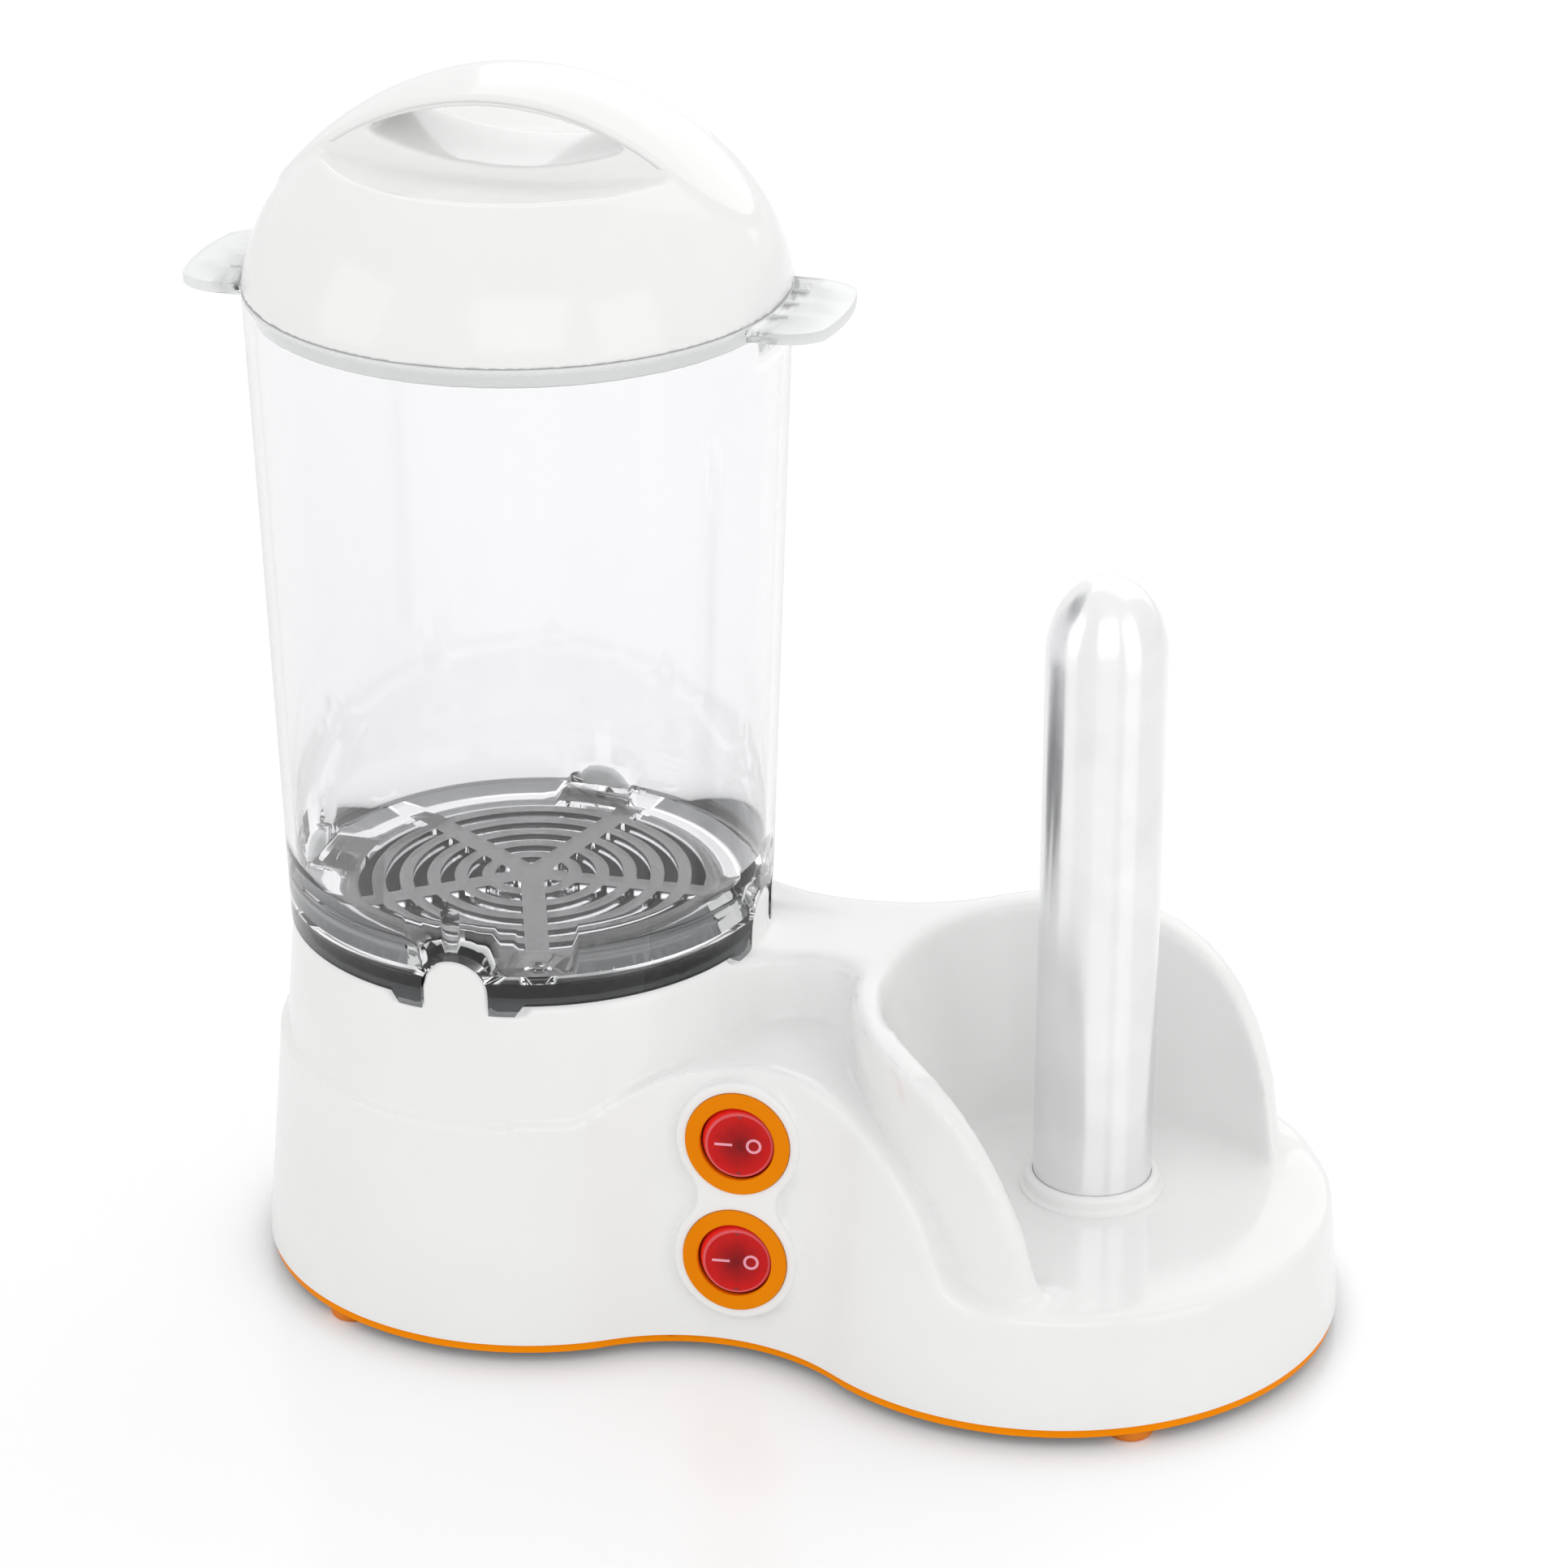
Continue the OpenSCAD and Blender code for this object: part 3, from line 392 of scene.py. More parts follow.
def to_mesh(bm, name, material, sharp_deg=None):
    """Turns a bmesh into a mesh with smooth faces, kept sharp along edges over sharp_deg."""
    mesh = bpy.data.meshes.new(name)
    bm.to_mesh(mesh)
    bm.free()
    dress(mesh, material)
    if sharp_deg:
        mesh.set_sharp_from_angle(angle=math.radians(sharp_deg))
        mesh.update()
    return mesh


def skin(bm, rings):
    """Joins each ring of points to the next one by quads."""
    for low, high in zip(rings, rings[1:]):
        for i in range(len(low)):
            j = (i + 1) % len(low)
            bm.faces.new([low[i], low[j], high[j], high[i]])


def hem(bm, ring):
    """The edges along a closed ring of points."""
    return [bm.edges.get((a, b)) for a, b in zip(ring, ring[1:] + ring[:1])]


def turn(bm, profile, place, steps=96):
    """Revolves (radius, height) points in millimetres about place's Z; the ends lie on the axis or meet."""
    rings = []
    for r, z in profile:
        if r < 1e-6:
            rings.append([bm.verts.new(place @ Vector((0, 0, z * MM)))])
            continue
        angles = [2 * math.pi * i / steps for i in range(steps)]
        rings.append([bm.verts.new(place @ Vector((r * MM * math.cos(a), r * MM * math.sin(a), z * MM)))
                      for a in angles])
    shut = profile[0][0] > 1e-6
    pairs = list(zip(rings, rings[1:])) + ([(rings[-1], rings[0])] if shut else [])
    for low, high in pairs:
        for i in range(steps):
            j = (i + 1) % steps
            corners = [low[i % len(low)], low[j % len(low)], high[j % len(high)], high[i % len(high)]]
            bm.faces.new(list(dict.fromkeys(corners)))


def rounded(points, radius, steps=4):
    """Rounds each corner of a closed (radius, height) outline by a short curve."""
    out = []
    for i, p in enumerate(points):
        before, after = Vector(points[i - 1]), Vector(points[(i + 1) % len(points)])
        p = Vector(p)
        a = p + (before - p).normalized() * min(radius, (before - p).length / 2.1)
        b = p + (after - p).normalized() * min(radius, (after - p).length / 2.1)
        for k in range(steps + 1):
            t = k / steps
            out.append(tuple(a * (1 - t) ** 2 + p * (2 * t * (1 - t)) + b * t * t))
    return out


def rolled(radius):
    """Inset and drop of points along a quarter-round edge, from its side to its top."""
    return [(radius * (1 - math.cos(math.radians(a))), radius * (math.sin(math.radians(a)) - 1))
            for a in range(0, 91, 15)]


def turned(name, profile, place, material, sharp_deg=40, steps=96):
    """A turned piece's mesh, smooth but for edges over sharp_deg."""
    bm = bmesh.new()
    turn(bm, profile, place, steps)
    bmesh.ops.recalc_face_normals(bm, faces=bm.faces)
    return to_mesh(bm, name, material, sharp_deg)


def at(x, y, z):
    """A place in the part, given from the drum axis in millimetres."""
    return Matrix.Translation(Vector((AXIS_X + x, y, z)) * MM)


def on_panel(z):
    """The switch panel at height z, with Z pointing out of it."""
    y = -PANEL_Y + (z - SHELL_Z) * math.tan(DRAFT)
    return at(SWITCH_X, y, z) @ Matrix.Rotation(math.pi / 2 - DRAFT, 4, "X")


def on_rear(z):
    """The flat at the back at height z, with Z pointing out of it."""
    y = PANEL_Y - (z - SHELL_Z) * math.tan(DRAFT)
    return at(WAIST_X, y, z) @ Matrix.Rotation(DRAFT - math.pi / 2, 4, "X")


def modified(mesh, kind, **settings):
    """The plain mesh that one modifier makes of a mesh, which it uses up."""
    holder = bpy.data.objects.new("rough", mesh)
    bpy.context.scene.collection.objects.link(holder)
    maker = holder.modifiers.new("maker", kind)
    for name, value in settings.items():
        setattr(maker, name, value)
    graph = bpy.context.evaluated_depsgraph_get()
    made = bpy.data.meshes.new_from_object(holder.evaluated_get(graph))
    bpy.data.objects.remove(holder)
    bpy.data.meshes.remove(mesh)
    return made


def remeshed(bm, voxel_mm):
    """The outside of a bmesh, rebuilt in even quads of voxel_mm."""
    rough = bpy.data.meshes.new("rough")
    bm.to_mesh(rough)
    bm.free()
    return modified(rough, "REMESH", mode="VOXEL", voxel_size=voxel_mm * MM)


def thinned(mesh, most):
    """A mesh with its flattest triangles merged until no more than about most are left."""
    mesh.calc_loop_triangles()
    return modified(mesh, "DECIMATE", ratio=min(1.0, most / len(mesh.loop_triangles)))


def points_of(mesh):
    """A mesh's points in metres, one row each."""
    co = np.empty(len(mesh.vertices) * 3, np.float32)
    mesh.vertices.foreach_get("co", co)
    return co.reshape(-1, 3).astype(float)


def move_points(mesh, co):
    """Puts a mesh's points where the rows say."""
    mesh.vertices.foreach_set("co", co.astype(np.float32).ravel())
    mesh.update()


def mark_points(mesh, name, values):
    """Gives each point of a mesh a number that its material reads."""
    mesh.attributes.new(name, "FLOAT", "POINT").data.foreach_set("value", values)


def soften(mesh, rounds, weight):
    """Rounds an even mesh: each point moves towards its neighbours' mean, as far as weight lets it."""
    co = points_of(mesh)
    ends = np.empty(len(mesh.edges) * 2, np.int32)
    mesh.edges.foreach_get("vertices", ends)
    a, b = ends.reshape(-1, 2).T
    count = np.bincount(ends, minlength=len(co))[:, None]
    for _ in range(rounds):
        total = np.stack([np.bincount(a, co[b, k], len(co)) + np.bincount(b, co[a, k], len(co))
                          for k in range(3)], axis=1)
        co += weight[:, None] * 0.5 * (total / count - co)
    move_points(mesh, co)


def ramp(value, start, end):
    """0 at start and before it, 1 at end and past it."""
    return np.clip((value - start) / (end - start), 0.0, 1.0)


def grown(name, mesh, group, values):
    """The plain mesh that a node group makes of a mesh, its named inputs set first."""
    holder = bpy.data.objects.new(name, mesh)
    bpy.context.scene.collection.objects.link(holder)
    maker = holder.modifiers.new(name, "NODES")
    maker.node_group = group
    for item in group.interface.items_tree:
        if item.name in values:
            maker[item.identifier] = values[item.name]
    graph = bpy.context.evaluated_depsgraph_get()
    made = bpy.data.meshes.new_from_object(holder.evaluated_get(graph))
    holder.modifiers.clear()
    bpy.data.objects.remove(holder)
    return made


def arc(centre, radius, start_deg, end_deg, count):
    """Points of an arc, its first point in and its last one out."""
    angles = [math.radians(start_deg + (end_deg - start_deg) * i / count) for i in range(count)]
    return [(centre[0] + radius * math.cos(a), centre[1] + radius * math.sin(a)) for a in angles]


# Base shell: the solid carried on below its edge and closed inside, rebuilt with soft edges, cut off level

SHELL_VOXEL = 0.92
SHELL_TRIANGLES = 210000

# Zones of the shell in millimetres, each from where it starts to where it is full, and how far its edges are
# held: at the switches, the keys, the drum's step and the walls' crests they are rounded less than elsewhere.
SWITCH_HALF_W, SWITCH_BACK_Y, SWITCH_TOP_Z, SWITCH_REACH = 17.0, -38.0, 73.0, 6.0
KEYS_Z = (86.5, 88.5)
SIDE_X, SIDE_Z = (66.0, 52.0), (48.0, 52.0)
CREST_X, CREST_Z = (88.0, 96.0), (39.0, 46.0)
STEP_Z = (84.0, 80.0)
SWITCH_HELD, KEYS_HELD, SIDE_HELD, CREST_HELD = 0.5, 0.75, 0.9, 0.4
SHELL_ROUNDS, STEP_ROUNDS = 26, 10

# Corners that come to a thin end are rounded more.
THIN_CORNERS = ((87, -31, 84), (82, -13, 84), (82, -13, 75), (82, -13, 66), (135, -50, 35), (176.5, 26, 37))
CORNER_REACH = (3.0, 14.0)
CORNER_ROUNDS = 60
STEP_SHARPENED = 0.4


def base_outline(z):
    """The base's outline at height z, round from the platform's front, with the flat panel at the back."""
    inset = (z - SHELL_Z) * math.tan(DRAFT)
    drum_turn = math.degrees(math.atan2(WAIST_Y, WAIST_X))
    pad_turn = math.degrees(math.atan2(WAIST_Y, WAIST_X - AXIS_GAP))
    loop = arc((AXIS_GAP, 0), PAD_R - inset, -pad_turn, pad_turn, 90)
    loop += [(x, max(y, PANEL_Y - inset) if abs(x - WAIST_X) < PANEL_W / 2 - inset else y)
             for x, y in arc((WAIST_X, WAIST_Y), WAIST_R + inset, pad_turn - 180, drum_turn - 180, 60)]
    loop += arc((0, 0), DRUM_R - inset, drum_turn, 360 - drum_turn, 90)
    loop += arc((WAIST_X, -WAIST_Y), WAIST_R + inset, 180 - drum_turn, 180 - pad_turn, 40)
    return loop


def prism(bm, levels):
    """A closed solid through outlines at several heights, each with the same count of points."""
    rings = [[bm.verts.new(at(x, y, z).translation) for x, y in loop] for z, loop in levels]
    bm.faces.new(list(reversed(rings[0])))
    bm.faces.new(rings[-1])
    skin(bm, rings)


def cup(bm, place, radius, top, bottom, wall=1.6):
    """A closed cup behind a hole, so that the shell holds no way into its inside."""
    turn(bm, [(0, bottom - wall), (radius + wall, bottom - wall), (radius + wall, top), (radius, top),
              (radius, bottom), (0, bottom)], place, 64)


def level_off(mesh, z):
    """Cuts a mesh off at height z and closes the cut."""
    bm = bmesh.new()
    bm.from_mesh(mesh)
    whole = bm.verts[:] + bm.edges[:] + bm.faces[:]
    done = bmesh.ops.bisect_plane(bm, geom=whole, plane_co=(0, 0, z * MM), plane_no=(0, 0, -1),
                                  clear_outer=True)
    rim = [e for e in done["geom_cut"] if isinstance(e, bmesh.types.BMEdge)]
    bmesh.ops.triangle_fill(bm, edges=rim, use_beauty=False)
    bmesh.ops.recalc_face_normals(bm, faces=bm.faces)
    for edge in rim:
        edge.smooth = False
    bm.to_mesh(mesh)
    bm.free()


shell = welded("base_shell")
prism(shell, [(z, base_outline(z)) for z in (SHELL_Z - 4.5, SHELL_Z + 1.5)])
cup(shell, at(0, 0, 0), DISH_HOLE_R, top=DRUM_Z - 2, bottom=DRUM_Z - 26)
cup(shell, at(SPIKE_X, 0, 0), SPIKE_R + 1, top=PAD_Z - 1.2, bottom=PAD_Z - 20)
for height in (UPPER_Z, LOWER_Z):
    cup(shell, on_panel(height), SWITCH_HOLE_R, top=-1.2, bottom=-21)
cup(shell, on_rear(GLAND_Z), GLAND_HOLE_R, top=-1.2, bottom=-9)
shell = remeshed(shell, SHELL_VOXEL)
spot = points_of(shell) / MM - np.array([AXIS_X, 0, 0])
from_switches = (np.maximum(np.abs(spot[:, 0] - SWITCH_X) - SWITCH_HALF_W, 0)
                 + np.maximum(spot[:, 1] - SWITCH_BACK_Y, 0) + np.maximum(spot[:, 2] - SWITCH_TOP_Z, 0))
drum_side = ramp(spot[:, 0], *SIDE_X) * ramp(spot[:, 2], *SIDE_Z)
crest = ramp(spot[:, 0], *CREST_X) * ramp(spot[:, 2], *CREST_Z)
keys = ramp(spot[:, 2], *KEYS_Z)
give = np.minimum.reduce([1.0 - SWITCH_HELD + SWITCH_HELD * ramp(from_switches, 0.0, SWITCH_REACH),
                          1.0 - KEYS_HELD * keys, 1.0 - SIDE_HELD * drum_side, 1.0 - CREST_HELD * crest])
soften(shell, SHELL_ROUNDS, give)
for corner in THIN_CORNERS:
    away = np.linalg.norm(spot - np.array(corner), axis=1)
    soften(shell, CORNER_ROUNDS, 1.0 - ramp(away, *CORNER_REACH))

# The rebuild wears the drum's step down, so what a further smoothing would take off is put on there.
step_zone = drum_side * ramp(spot[:, 2], *STEP_Z)
crisp = points_of(shell)
soften(shell, STEP_ROUNDS, step_zone)
crisp += STEP_SHARPENED * (crisp - points_of(shell)) * step_zone[:, None]
move_points(shell, crisp)
shell = thinned(shell, SHELL_TRIANGLES)
level_off(shell, SHELL_Z)
piece("base_shell_moulding", dress(shell, WHITE), "base", "moulded_white", "base_shell")


# Raised figure of eight round the switches, with a rolled edge

def eight(radius):
    """Outline of the figure of eight: two circles joined by hollow arcs that touch both."""
    half = (UPPER_Z - LOWER_Z) / 2 / math.cos(DRAFT)
    hollow = (SURROUND_NECK**2 + half**2 - SURROUND_R**2) / (2 * (SURROUND_R - SURROUND_NECK))
    lean = math.degrees(math.atan2(half, SURROUND_NECK + hollow))
    side = arc((SURROUND_NECK + hollow, 0), hollow + SURROUND_R - radius, 180 + lean, 180 - lean, 24)
    top = arc((0, half), radius, -lean, 180 + lean, 96)
    return side + top + [(-x, -y) for x, y in side + top]


surround = bmesh.new()
middle = on_panel((UPPER_Z + LOWER_Z) / 2)
edge_points = [(SURROUND_R, SURROUND_FOOT)]
edge_points += [(SURROUND_R - inset, SURROUND_TOP + drop) for inset, drop in rolled(SURROUND_ROLL)]
rings = [[surround.verts.new(middle @ (Vector((x, y, z)) * MM)) for x, y in eight(r)] for r, z in edge_points]
skin(surround, rings)
rims = hem(surround, rings[-1])
soles = hem(surround, rings[0])
for height in (UPPER_Z, LOWER_Z):
    seat = arc((0, 0), BEZEL_R + SWITCH_GAP, 0, 360, 96)
    wall = [[surround.verts.new(on_panel(height) @ (Vector((x, y, z)) * MM)) for x, y in seat]
            for z in (SURROUND_TOP, SURROUND_FOOT)]
    skin(surround, wall)
    rims += hem(surround, wall[0])
    soles += hem(surround, wall[1])
bmesh.ops.triangle_fill(surround, edges=rims, use_beauty=True)
bmesh.ops.triangle_fill(surround, edges=soles, use_beauty=True)
bmesh.ops.recalc_face_normals(surround, faces=surround.faces)
piece("switch_surround", to_mesh(surround, "switch_surround", WHITE, 40), "base", "moulded_white")

# Lid: rebuilt in the same way, with its hollow inside kept and its rim less rounded than its dome
LID_VOXEL = 0.84
LID_RIM_Z = (245.0, 249.0)
LID_RIM_HELD = 0.65
LID_ROUNDS = 5
lid = remeshed(welded("lid"), LID_VOXEL)
dome = ramp(points_of(lid)[:, 2] / MM, *LID_RIM_Z)
soften(lid, LID_ROUNDS, 1.0 - LID_RIM_HELD + LID_RIM_HELD * dome)
piece("lid_moulding", dress(lid, WHITE), "lid", "moulded_white", "lid")


# Top of the grip bar, with a rolled edge that stands out of the dome

def dome_height(r, grow):
    """Height of the lid's dome, moved out by grow, at a radius: a top arc and a side arc that touch."""
    drop = LID_SIDE - LID_TOP + LID_TOP_R
    side_r = (LID_TOP_R**2 - LID_R**2 - drop**2) / (2 * (LID_TOP_R - LID_R))
    turn_at = math.atan2(drop, LID_R - side_r)
    if r < (LID_TOP_R + grow) * math.cos(turn_at):
        return LID_TOP - LID_TOP_R + math.sqrt((LID_TOP_R + grow) ** 2 - r * r)
    return LID_SIDE + math.sqrt((side_r + grow) ** 2 - (r - LID_R + side_r) ** 2)


def stadium(radius, half):
    """A long round-ended outline with evenly spread points."""
    straight = [half - 2 * half * i / 60 for i in range(60)]
    ends = arc((half, 0), radius, -90, 90, 40)
    one = ends + [(x, radius) for x in straight]
    return one + [(-x, -y) for x, y in one]


BAR_ROLL = 0.75
BAR_MIDDLE = BAR_W / 2 - 0.02
bar = bmesh.new()
rows = [(inset, BAR_SINK) for inset in np.linspace(BAR_MIDDLE, 0.0, 8)]
rows += [(inset, BAR_OUT + drop) for inset, drop in rolled(BAR_ROLL)]
rows += [(inset, BAR_OUT) for inset in np.linspace(BAR_ROLL, BAR_MIDDLE, 16)[1:]]
rings = [[bar.verts.new(at(x, y, dome_height(math.hypot(x, y), grow)).translation)
          for x, y in stadium(BAR_W / 2 - inset, BAR_L / 2 - BAR_W / 2)] for inset, grow in rows]
skin(bar, rings)
bmesh.ops.remove_doubles(bar, verts=bar.verts, dist=6e-5)
bmesh.ops.recalc_face_normals(bar, faces=bar.faces)
piece("grip_bar_top", to_mesh(bar, "grip_bar_top", WHITE), "lid", "moulded_white")

# Clear container with satin ears, dark dish, base plate and gland: the solids with smooth shading
SATIN_OUT = (0.4, 1.4)
for node, body, slot, material, angle in (
        ("container", "container", "clear_plastic", CLEAR, 24),
        ("heater_dish", "base", "coated_dark", COATED, 30),
        ("base_plate", "base", "moulded_orange", ORANGE_PLATE, 30),
        ("cord_gland", "base", "black_plastic", BLACK, 30)):
    mesh = to_mesh(welded(node), node + "_smooth", material, angle)
    if node == "container":
        spot = points_of(mesh) / MM
        reach = np.hypot(spot[:, 0] - AXIS_X, spot[:, 1]) - CON_RIM_R
        mark_points(mesh, "satin", ramp(reach, *SATIN_OUT))
    piece(node + "_smooth", mesh, body, slot, node)

# Rockers with round sides and a rolled edge, their marks, the nubs at the rim, and the bezels
LENS_HOLLOW = [(0, 1.6), (ROCKER_R - 2.2, 1.6), (ROCKER_R - 2.2, -2.0)]
LENS_SIDE = [(ROCKER_R * math.cos(math.radians(a)), ROCKER_R * math.sin(math.radians(a)))
             for a in range(-12, 33, 4)]
LENS_EDGE = [(7.72, 4.98), (7.6, 5.08), (7.42, ROCKER_TOP), (7.22, 5.06), (7.1, 4.99)]
LENS_FACE = [(0, 4.96)]
O_MARK = [(1.2, 4.9), (1.8, 4.9), (1.8, 4.99), (1.2, 4.99)]
O_MARK_X = 3.3
I_MARK_SIZE = (4.1, 0.6, 0.09)
I_MARK_AT = (-3.7, 0, 4.945)
NUB = [(0, 4.7), (0.55, 4.7), (0.55, 5.04), (0, 5.07)]
NUB_OUT = 7.1
BEZEL = rounded([(BEZEL_IN, 0), (BEZEL_R, 0), (BEZEL_R, BEZEL_H), (BEZEL_IN, BEZEL_H)], 0.35)
for side, height in (("upper", UPPER_Z), ("lower", LOWER_Z)):
    face = on_panel(height) @ Matrix.Translation((0, 0, PIVOT * MM)) @ Matrix.Rotation(ROCK, 4, "Y")
    lens = bmesh.new()
    turn(lens, LENS_HOLLOW + LENS_SIDE + LENS_EDGE + LENS_FACE, face, 128)
    pins = bmesh.ops.create_cone(lens, cap_ends=True, segments=32, radius1=PIN_R * MM, radius2=PIN_R * MM,
                                 depth=2 * PIN_OUT * MM)
    bmesh.ops.transform(lens, matrix=face @ Matrix.Rotation(math.pi / 2, 4, "X"), verts=pins["verts"])
    bmesh.ops.recalc_face_normals(lens, faces=lens.faces)
    lens = to_mesh(lens, side + "_rocker_lens", RED, 50)
    flat = np.array(face.inverted())
    spot = (points_of(lens) @ flat[:3, :3].T + flat[:3, 3]) / MM
    # These numbers place the lens's painted light: distance from the middle and depth below the top.
    mark_points(lens, "lens_radius", np.hypot(spot[:, 0], spot[:, 1]))
    mark_points(lens, "lens_depth", ROCKER_TOP - spot[:, 2])
    piece(side + "_rocker_lens", lens, side + "_rocker", "red_clear", side + "_rocker")
    marks = bmesh.new()
    turn(marks, O_MARK, face @ Matrix.Translation((O_MARK_X * MM, 0, 0)), 48)
    dash = bmesh.ops.create_cube(marks, size=1.0)["verts"]
    bmesh.ops.scale(marks, vec=Vector(I_MARK_SIZE) * MM, verts=dash)
    bmesh.ops.transform(marks, matrix=face @ Matrix.Translation(Vector(I_MARK_AT) * MM), verts=dash)
    bmesh.ops.recalc_face_normals(marks, faces=marks.faces)
    marks = to_mesh(marks, side + "_rocker_marks", PAINT, 30)
    piece(side + "_rocker_marks", marks, side + "_rocker", "red_clear")
    nubs = bmesh.new()
    for end in (-1, 1):
        turn(nubs, NUB, face @ Matrix.Translation((0, end * NUB_OUT * MM, 0)), 24)
    bmesh.ops.recalc_face_normals(nubs, faces=nubs.faces)
    nubs = to_mesh(nubs, side + "_rocker_nubs", PIP, 30)
    piece(side + "_rocker_nubs", nubs, side + "_rocker", "red_clear")
    ring = turned(side + "_bezel_ring", BEZEL, on_panel(height), ORANGE)
    piece(side + "_bezel_ring", ring, "base", "moulded_orange", side + "_bezel")

# Spike: a tube with a long rounded tip and a flange below the platform
TIP_LENGTH = 1.35 * SPIKE_R
tip_angles = [math.radians(5 * i) for i in range(18)]
tip_foot = SPIKE_Z - TIP_LENGTH
bore_r = SPIKE_R - SPIKE_T
outer = [(SPIKE_R * math.cos(t), tip_foot + TIP_LENGTH * math.sin(t)) for t in tip_angles] + [(0, SPIKE_Z)]
inner = [(0, SPIKE_Z - SPIKE_T)]
inner += [(bore_r * math.cos(t), tip_foot + (TIP_LENGTH - SPIKE_T) * math.sin(t))
          for t in reversed(tip_angles)]
flange = [(bore_r, CLAMP_Z), (bore_r + FLANGE_W, CLAMP_Z), (bore_r + FLANGE_W, CLAMP_Z + FLANGE_T),
          (SPIKE_R, CLAMP_Z + FLANGE_T)]
tube = turned("spike_tube", inner + flange + outer, at(SPIKE_X, 0, 0), BRIGHT, 40, 128)
piece("spike_tube", tube, "base", "spike_metal", "spike")

# Collar: a neck in the platform's hole, a hollow foot on the platform and a rounded top
COLLAR_R = SPIKE_R + 2.9
COLLAR_IN = SPIKE_R + 0.1
NECK_R = SPIKE_R + 0.9
NECK_FOOT = PAD_Z - 5.2
SEAT_Z = PAD_Z - 1.6
HOLLOW_Z = PAD_Z + 1.3
ROUND_Z = PAD_Z + 2.7
COLLAR_TOP = PAD_Z + 3.9
FOOT_HOLLOW = 1.1
TOP_ROUND = 1.3
quarter = [math.radians(a) for a in range(0, 91, 10)]
collar = [(COLLAR_IN, NECK_FOOT), (NECK_R, NECK_FOOT), (NECK_R, SEAT_Z), (COLLAR_R, SEAT_Z)]
collar += [(COLLAR_R - FOOT_HOLLOW * math.sin(a), HOLLOW_Z - FOOT_HOLLOW * math.cos(a)) for a in quarter]
collar += [(SPIKE_R + 0.5 + TOP_ROUND * math.cos(a), ROUND_Z + TOP_ROUND * math.sin(a)) for a in quarter]
collar += [(COLLAR_IN, COLLAR_TOP)]
collar = turned("spike_collar_ring", collar, at(SPIKE_X, 0, 0), WHITE, 60)
piece("spike_collar_ring", collar, "base", "moulded_white", "spike_collar")

# Feet with rounded soles and a stem each
FOOT = [(0, 0), (FOOT_R - 1, 0), (FOOT_R - 0.5, 0.15), (FOOT_R - 0.15, 0.55), (FOOT_R, 1.1), (FOOT_R, FOOT_H),
        (STEM_R, FOOT_H), (STEM_R, STEM_TOP), (0, STEM_TOP)]
feet = bmesh.new()
for r, axis, angle in ((DRUM_R, 0, 120), (DRUM_R, 0, -120), (PAD_R, AXIS_GAP, 60), (PAD_R, AXIS_GAP, -60)):
    out, way = r - FOOT_IN, math.radians(angle)
    turn(feet, FOOT, at(axis + out * math.cos(way), out * math.sin(way), 0), 64)
bmesh.ops.recalc_face_normals(feet, faces=feet.faces)
piece("rubber_feet", to_mesh(feet, "rubber_feet", ORANGE_RUBBER, 40), "base", "orange_foot", "feet")


# Screws: one node group sets a cross-slotted screw, head down, on every point it is given

def screw_maker():
    """The node group, with the sizes of the head, shank and slot as its inputs."""
    group = bpy.data.node_groups.new("screw set", "GeometryNodeTree")
    for label, kind in (("Points", "Geometry"), ("Head Radius", "Float"), ("Head Height", "Float"),
                        ("Shank Radius", "Float"), ("Shank Length", "Float"), ("Slot", "Vector"),
                        ("Finish", "Material")):
        group.interface.new_socket(label, in_out="INPUT", socket_type="NodeSocket" + kind)
    group.interface.new_socket("Screws", in_out="OUTPUT", socket_type="NodeSocketGeometry")
    given = add(group, "NodeGroupInput").outputs
    edge = add(group, "ShaderNodeMath", {0: given["Head Radius"], 1: 0.86}, operation="MULTIPLY")
    head = add(group, "GeometryNodeMeshCone",
               {"Vertices": 40, "Radius Bottom": edge, "Radius Top": given["Head Radius"],
                "Depth": given["Head Height"]})
    half_head = add(group, "ShaderNodeMath", {0: given["Head Height"], 1: 0.5}, operation="MULTIPLY")
    head_up = add(group, "ShaderNodeCombineXYZ", {"Z": half_head})
    raised_head = add(group, "GeometryNodeTransform", {"Geometry": head, "Translation": head_up})
    cross = add(group, "GeometryNodeMeshCube", {"Size": given["Slot"]})
    turned_cross = add(group, "GeometryNodeTransform", {"Geometry": cross, "Rotation": (0, 0, math.pi / 2)})
    slots = add(group, "GeometryNodeMeshBoolean", {"Mesh 1": raised_head}, operation="DIFFERENCE")
    for cutter in (cross, turned_cross):
        group.links.new(cutter.outputs[0], slots.inputs["Mesh 2"])
    shank = add(group, "GeometryNodeMeshCylinder",
                {"Vertices": 24, "Radius": given["Shank Radius"], "Depth": given["Shank Length"]})
    half_shank = add(group, "ShaderNodeMath", {0: given["Shank Length"], 1: 0.5}, operation="MULTIPLY")
    rise = add(group, "ShaderNodeMath", {0: half_shank, 1: given["Head Height"]}, operation="ADD")
    shank_up = add(group, "ShaderNodeCombineXYZ", {"Z": rise})
    raised_shank = add(group, "GeometryNodeTransform", {"Geometry": shank, "Translation": shank_up})
    screw = add(group, "GeometryNodeJoinGeometry")
    for part in (slots, raised_shank):
        group.links.new(part.outputs[0], screw.inputs["Geometry"])
    placed = add(group, "GeometryNodeInstanceOnPoints", {"Points": given["Points"], "Instance": screw})
    real = add(group, "GeometryNodeRealizeInstances", {"Geometry": placed})
    done = add(group, "GeometryNodeSetMaterial", {"Geometry": real, "Material": given["Finish"]})
    add(group, "NodeGroupOutput", {"Screws": done})
    return group


